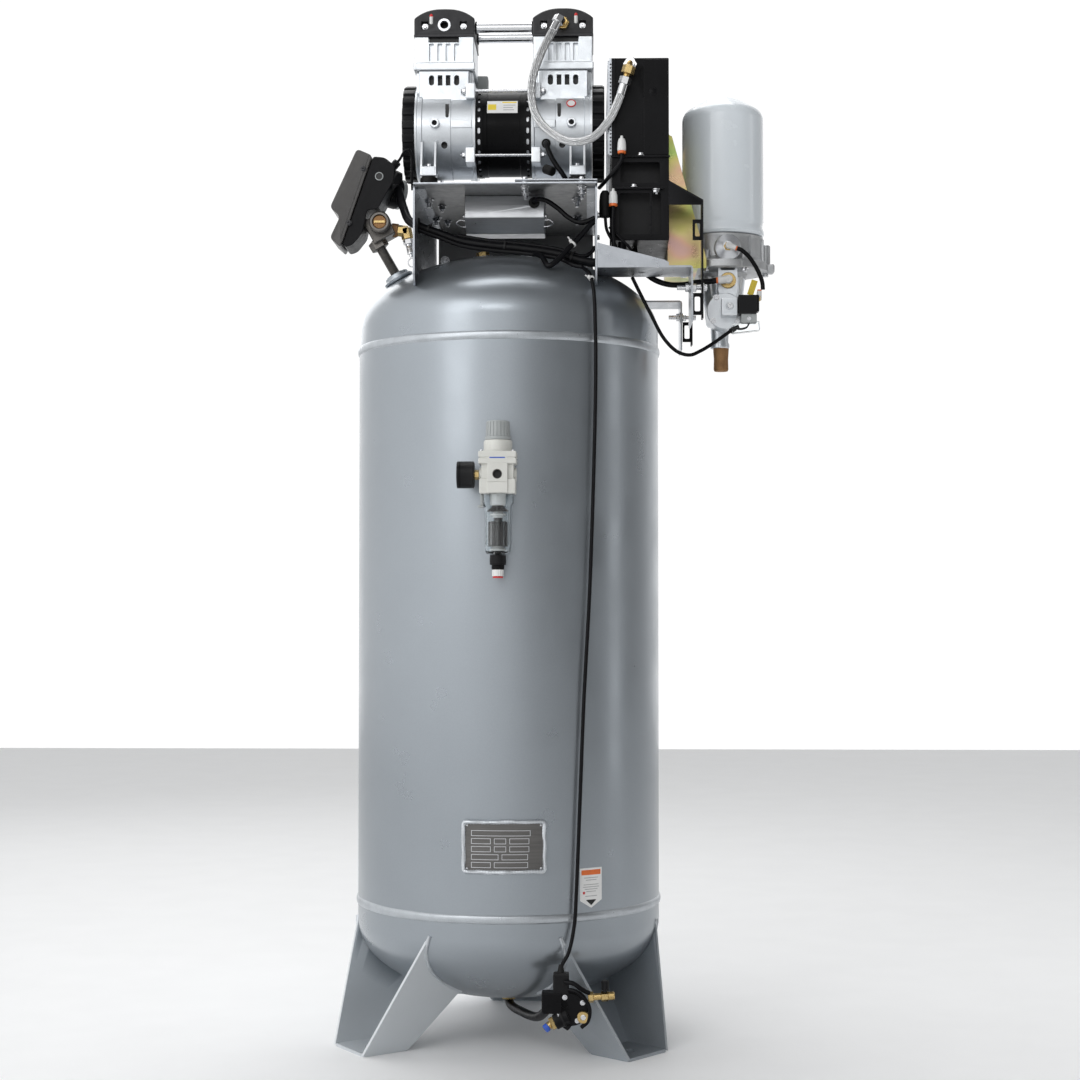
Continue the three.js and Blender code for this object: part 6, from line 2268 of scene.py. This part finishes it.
# -------------------------------------------------------- hoses and cables
def hoses():
    """Delivery hose, wiring loom and the two long leads."""
    route = [
        (93, -62, PORT_Z), (93, -78, PORT_Z), (86, -92, 1688), (77, -100, 1670), (58, -106, 1632),
        (44, -110, 1590), (42, -116, 1556), (50, -124, 1522), (74, -134, 1492), (106, -144, 1474),
        (140, -156, 1476), (168, -172, 1500), (186, -178, 1536), (198, -180, 1574), (203, -178, 1592),
        (INLET_X, -171, INLET_Z), (INLET_X, KY0 - 4.3, INLET_Z),
    ]
    path = smooth(route, 1.0)
    total = len(path)
    start, end = round(total * 0.085), round(total * 0.885)

    def braid(d, a):
        one = math.cos(12 * a + TAU * d / 20)
        two = math.cos(12 * a - TAU * d / 20)
        return 0.7 * max(one, two)

    hose = sweep(path[start:end], 6.0, 72, braid)
    knee = path[: start + 2]
    tail = path[end - 2:]
    near, far = path[start], path[end]
    toward = (path[start + 8] - path[start]).normalized()
    back = (path[end] - path[end - 8]).normalized()
    parts = [
        (BRAID, hose), (BRASS, sweep(knee[:-4], 5.2, 24)),
        (BRASS, hexagon((93, -60.5, PORT_Z), (93, -71, PORT_Z), 19, 1.4)),
        (BRASS, hexagon((93, -70.5, PORT_Z), (92.6, -79, PORT_Z - 0.4), 15, 1)),
        (CHROME, hexagon(near - toward * 16, near - toward * 3, 17, 1.4)),
        (CHROME, ring(near - toward * 4, near + toward * 15, 5, 7.3, 48, 0.9)),
        (CHROME, ring(far - back * 15, far + back * 3, 5, 7.3, 48, 0.9)),
        (CHROME, hexagon(far + back * 2, far + back * 15, 17, 1.4)), (BRASS, sweep(tail, 5.0, 24)),
        (BRASS, hexagon(far + back * 20, far + back * 34, 18, 1.4)),
        (CHROME, rod((INLET_X, -178.6, INLET_Z), (INLET_X, KY0 - 4.2, INLET_Z), 8.2, 40, 1)),
    ]
    make("delivery_hose", parts, nodes=["cooler_hose"])

    loom = [
        (-183, -70, 1412), (-172, -92, 1376), (-160, -118, 1350), (-145, -130, 1339),
        (-110, -132, 1326), (-75, -134, 1313), (-25, -140, 1304), (24, -146, 1298), (87, -154, 1287),
        (130, -160, 1274), (150, -160, 1272), (176, -158, 1279), (190, -150, 1294), (191, -148, 1306.2),
    ]
    wrap = lambda d, a: 0.35 * ((d / 14 + a / TAU) % 1) - 0.2
    second = [(x + 3, y - 9, z - 9) for x, y, z in loom[3:9]] + [(112, -172, 1266), (126, -178, 1262)]
    third = [
        (x - 2, y + 3, z + 9)
        for x, y, z in loom[5:10]
    ] + [(140, -150, 1290), (PX1 - 3.6, -146, 1300)]
    ties = []
    for i in (3, 6, 8):
        a, b = Vector(loom[i]), Vector(loom[i + 1])
        ties.append(tie(a.lerp(b, 0.5), b - a, 8.0))
    make(
        "loom",
        [
            (CABLE, sweep(smooth(loom, 2.0), 7.1, 28, wrap)), (CABLE, cable(second, 3.6)),
            (CABLE, cable(third, 3.2)), (BLACK_PLASTIC, together(*ties)),
        ],
        nodes=["wiring_loom"],
    )
    down = [
        (126, -176, 1262), (138, -200, 1246), (144, -214, 1220), (147, -218, 1150),
        (147.5, -217.5, 1100), (146, -218.5, 1000), (138, -223.5, 750), (128, -229, 560),
        (122, -233, 408), (116, -236, 260), (113, -238, 214), (104, -247, 172), (94, -250, 154),
        (92, -250, 142.6),
    ]
    make(
        "drain_lead",
        [
            (CABLE, cable(down, 3.0)),
            (RUBBER, lathe([[0, 0], [5.6, 0], [5.2, 3], [3.4, 12], [0, 12]], (92, -250, 142.4), Z, 32)),
            (WHITE_PLASTIC, tie((140.6, -205, 1239), (0.5, -1, -1.4), 3.4)),
        ],
        nodes=["drain_cable"],
    )
    loop = [
        (208, -112, 1255.6), (212, -108, 1248), (219, -106, 1234), (238, -108, 1196), (261, -106, 1154),
        (283, -104, 1133), (303, -102, 1128), (320, -96, 1135), (345, -86, 1151), (368, -79, 1168),
        (378, -77, 1175), (385.6, -76, 1178.6),
    ]
    make(
        "solenoid_lead",
        [
            (CABLE, cable(loop, 3.0)),
            (RUBBER, rod((371, -78, 1170), (380, -76.6, 1175.5), 4.4, 28, 0.8)),
        ],
        nodes=["solenoid_cable"],
    )


hoses()

# Carried-over nodes keep their CAD shape and get a finish.
CARRIED = {
    "regulator_stem": STEEL, "gauge_needle": RED, "crankshaft": STEEL, "piston_left": PISTON,
    "piston_right": PISTON,
}
for node, finish in CARRIED.items():
    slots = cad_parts[node].data.materials
    slots.clear()
    slots.append(finish)
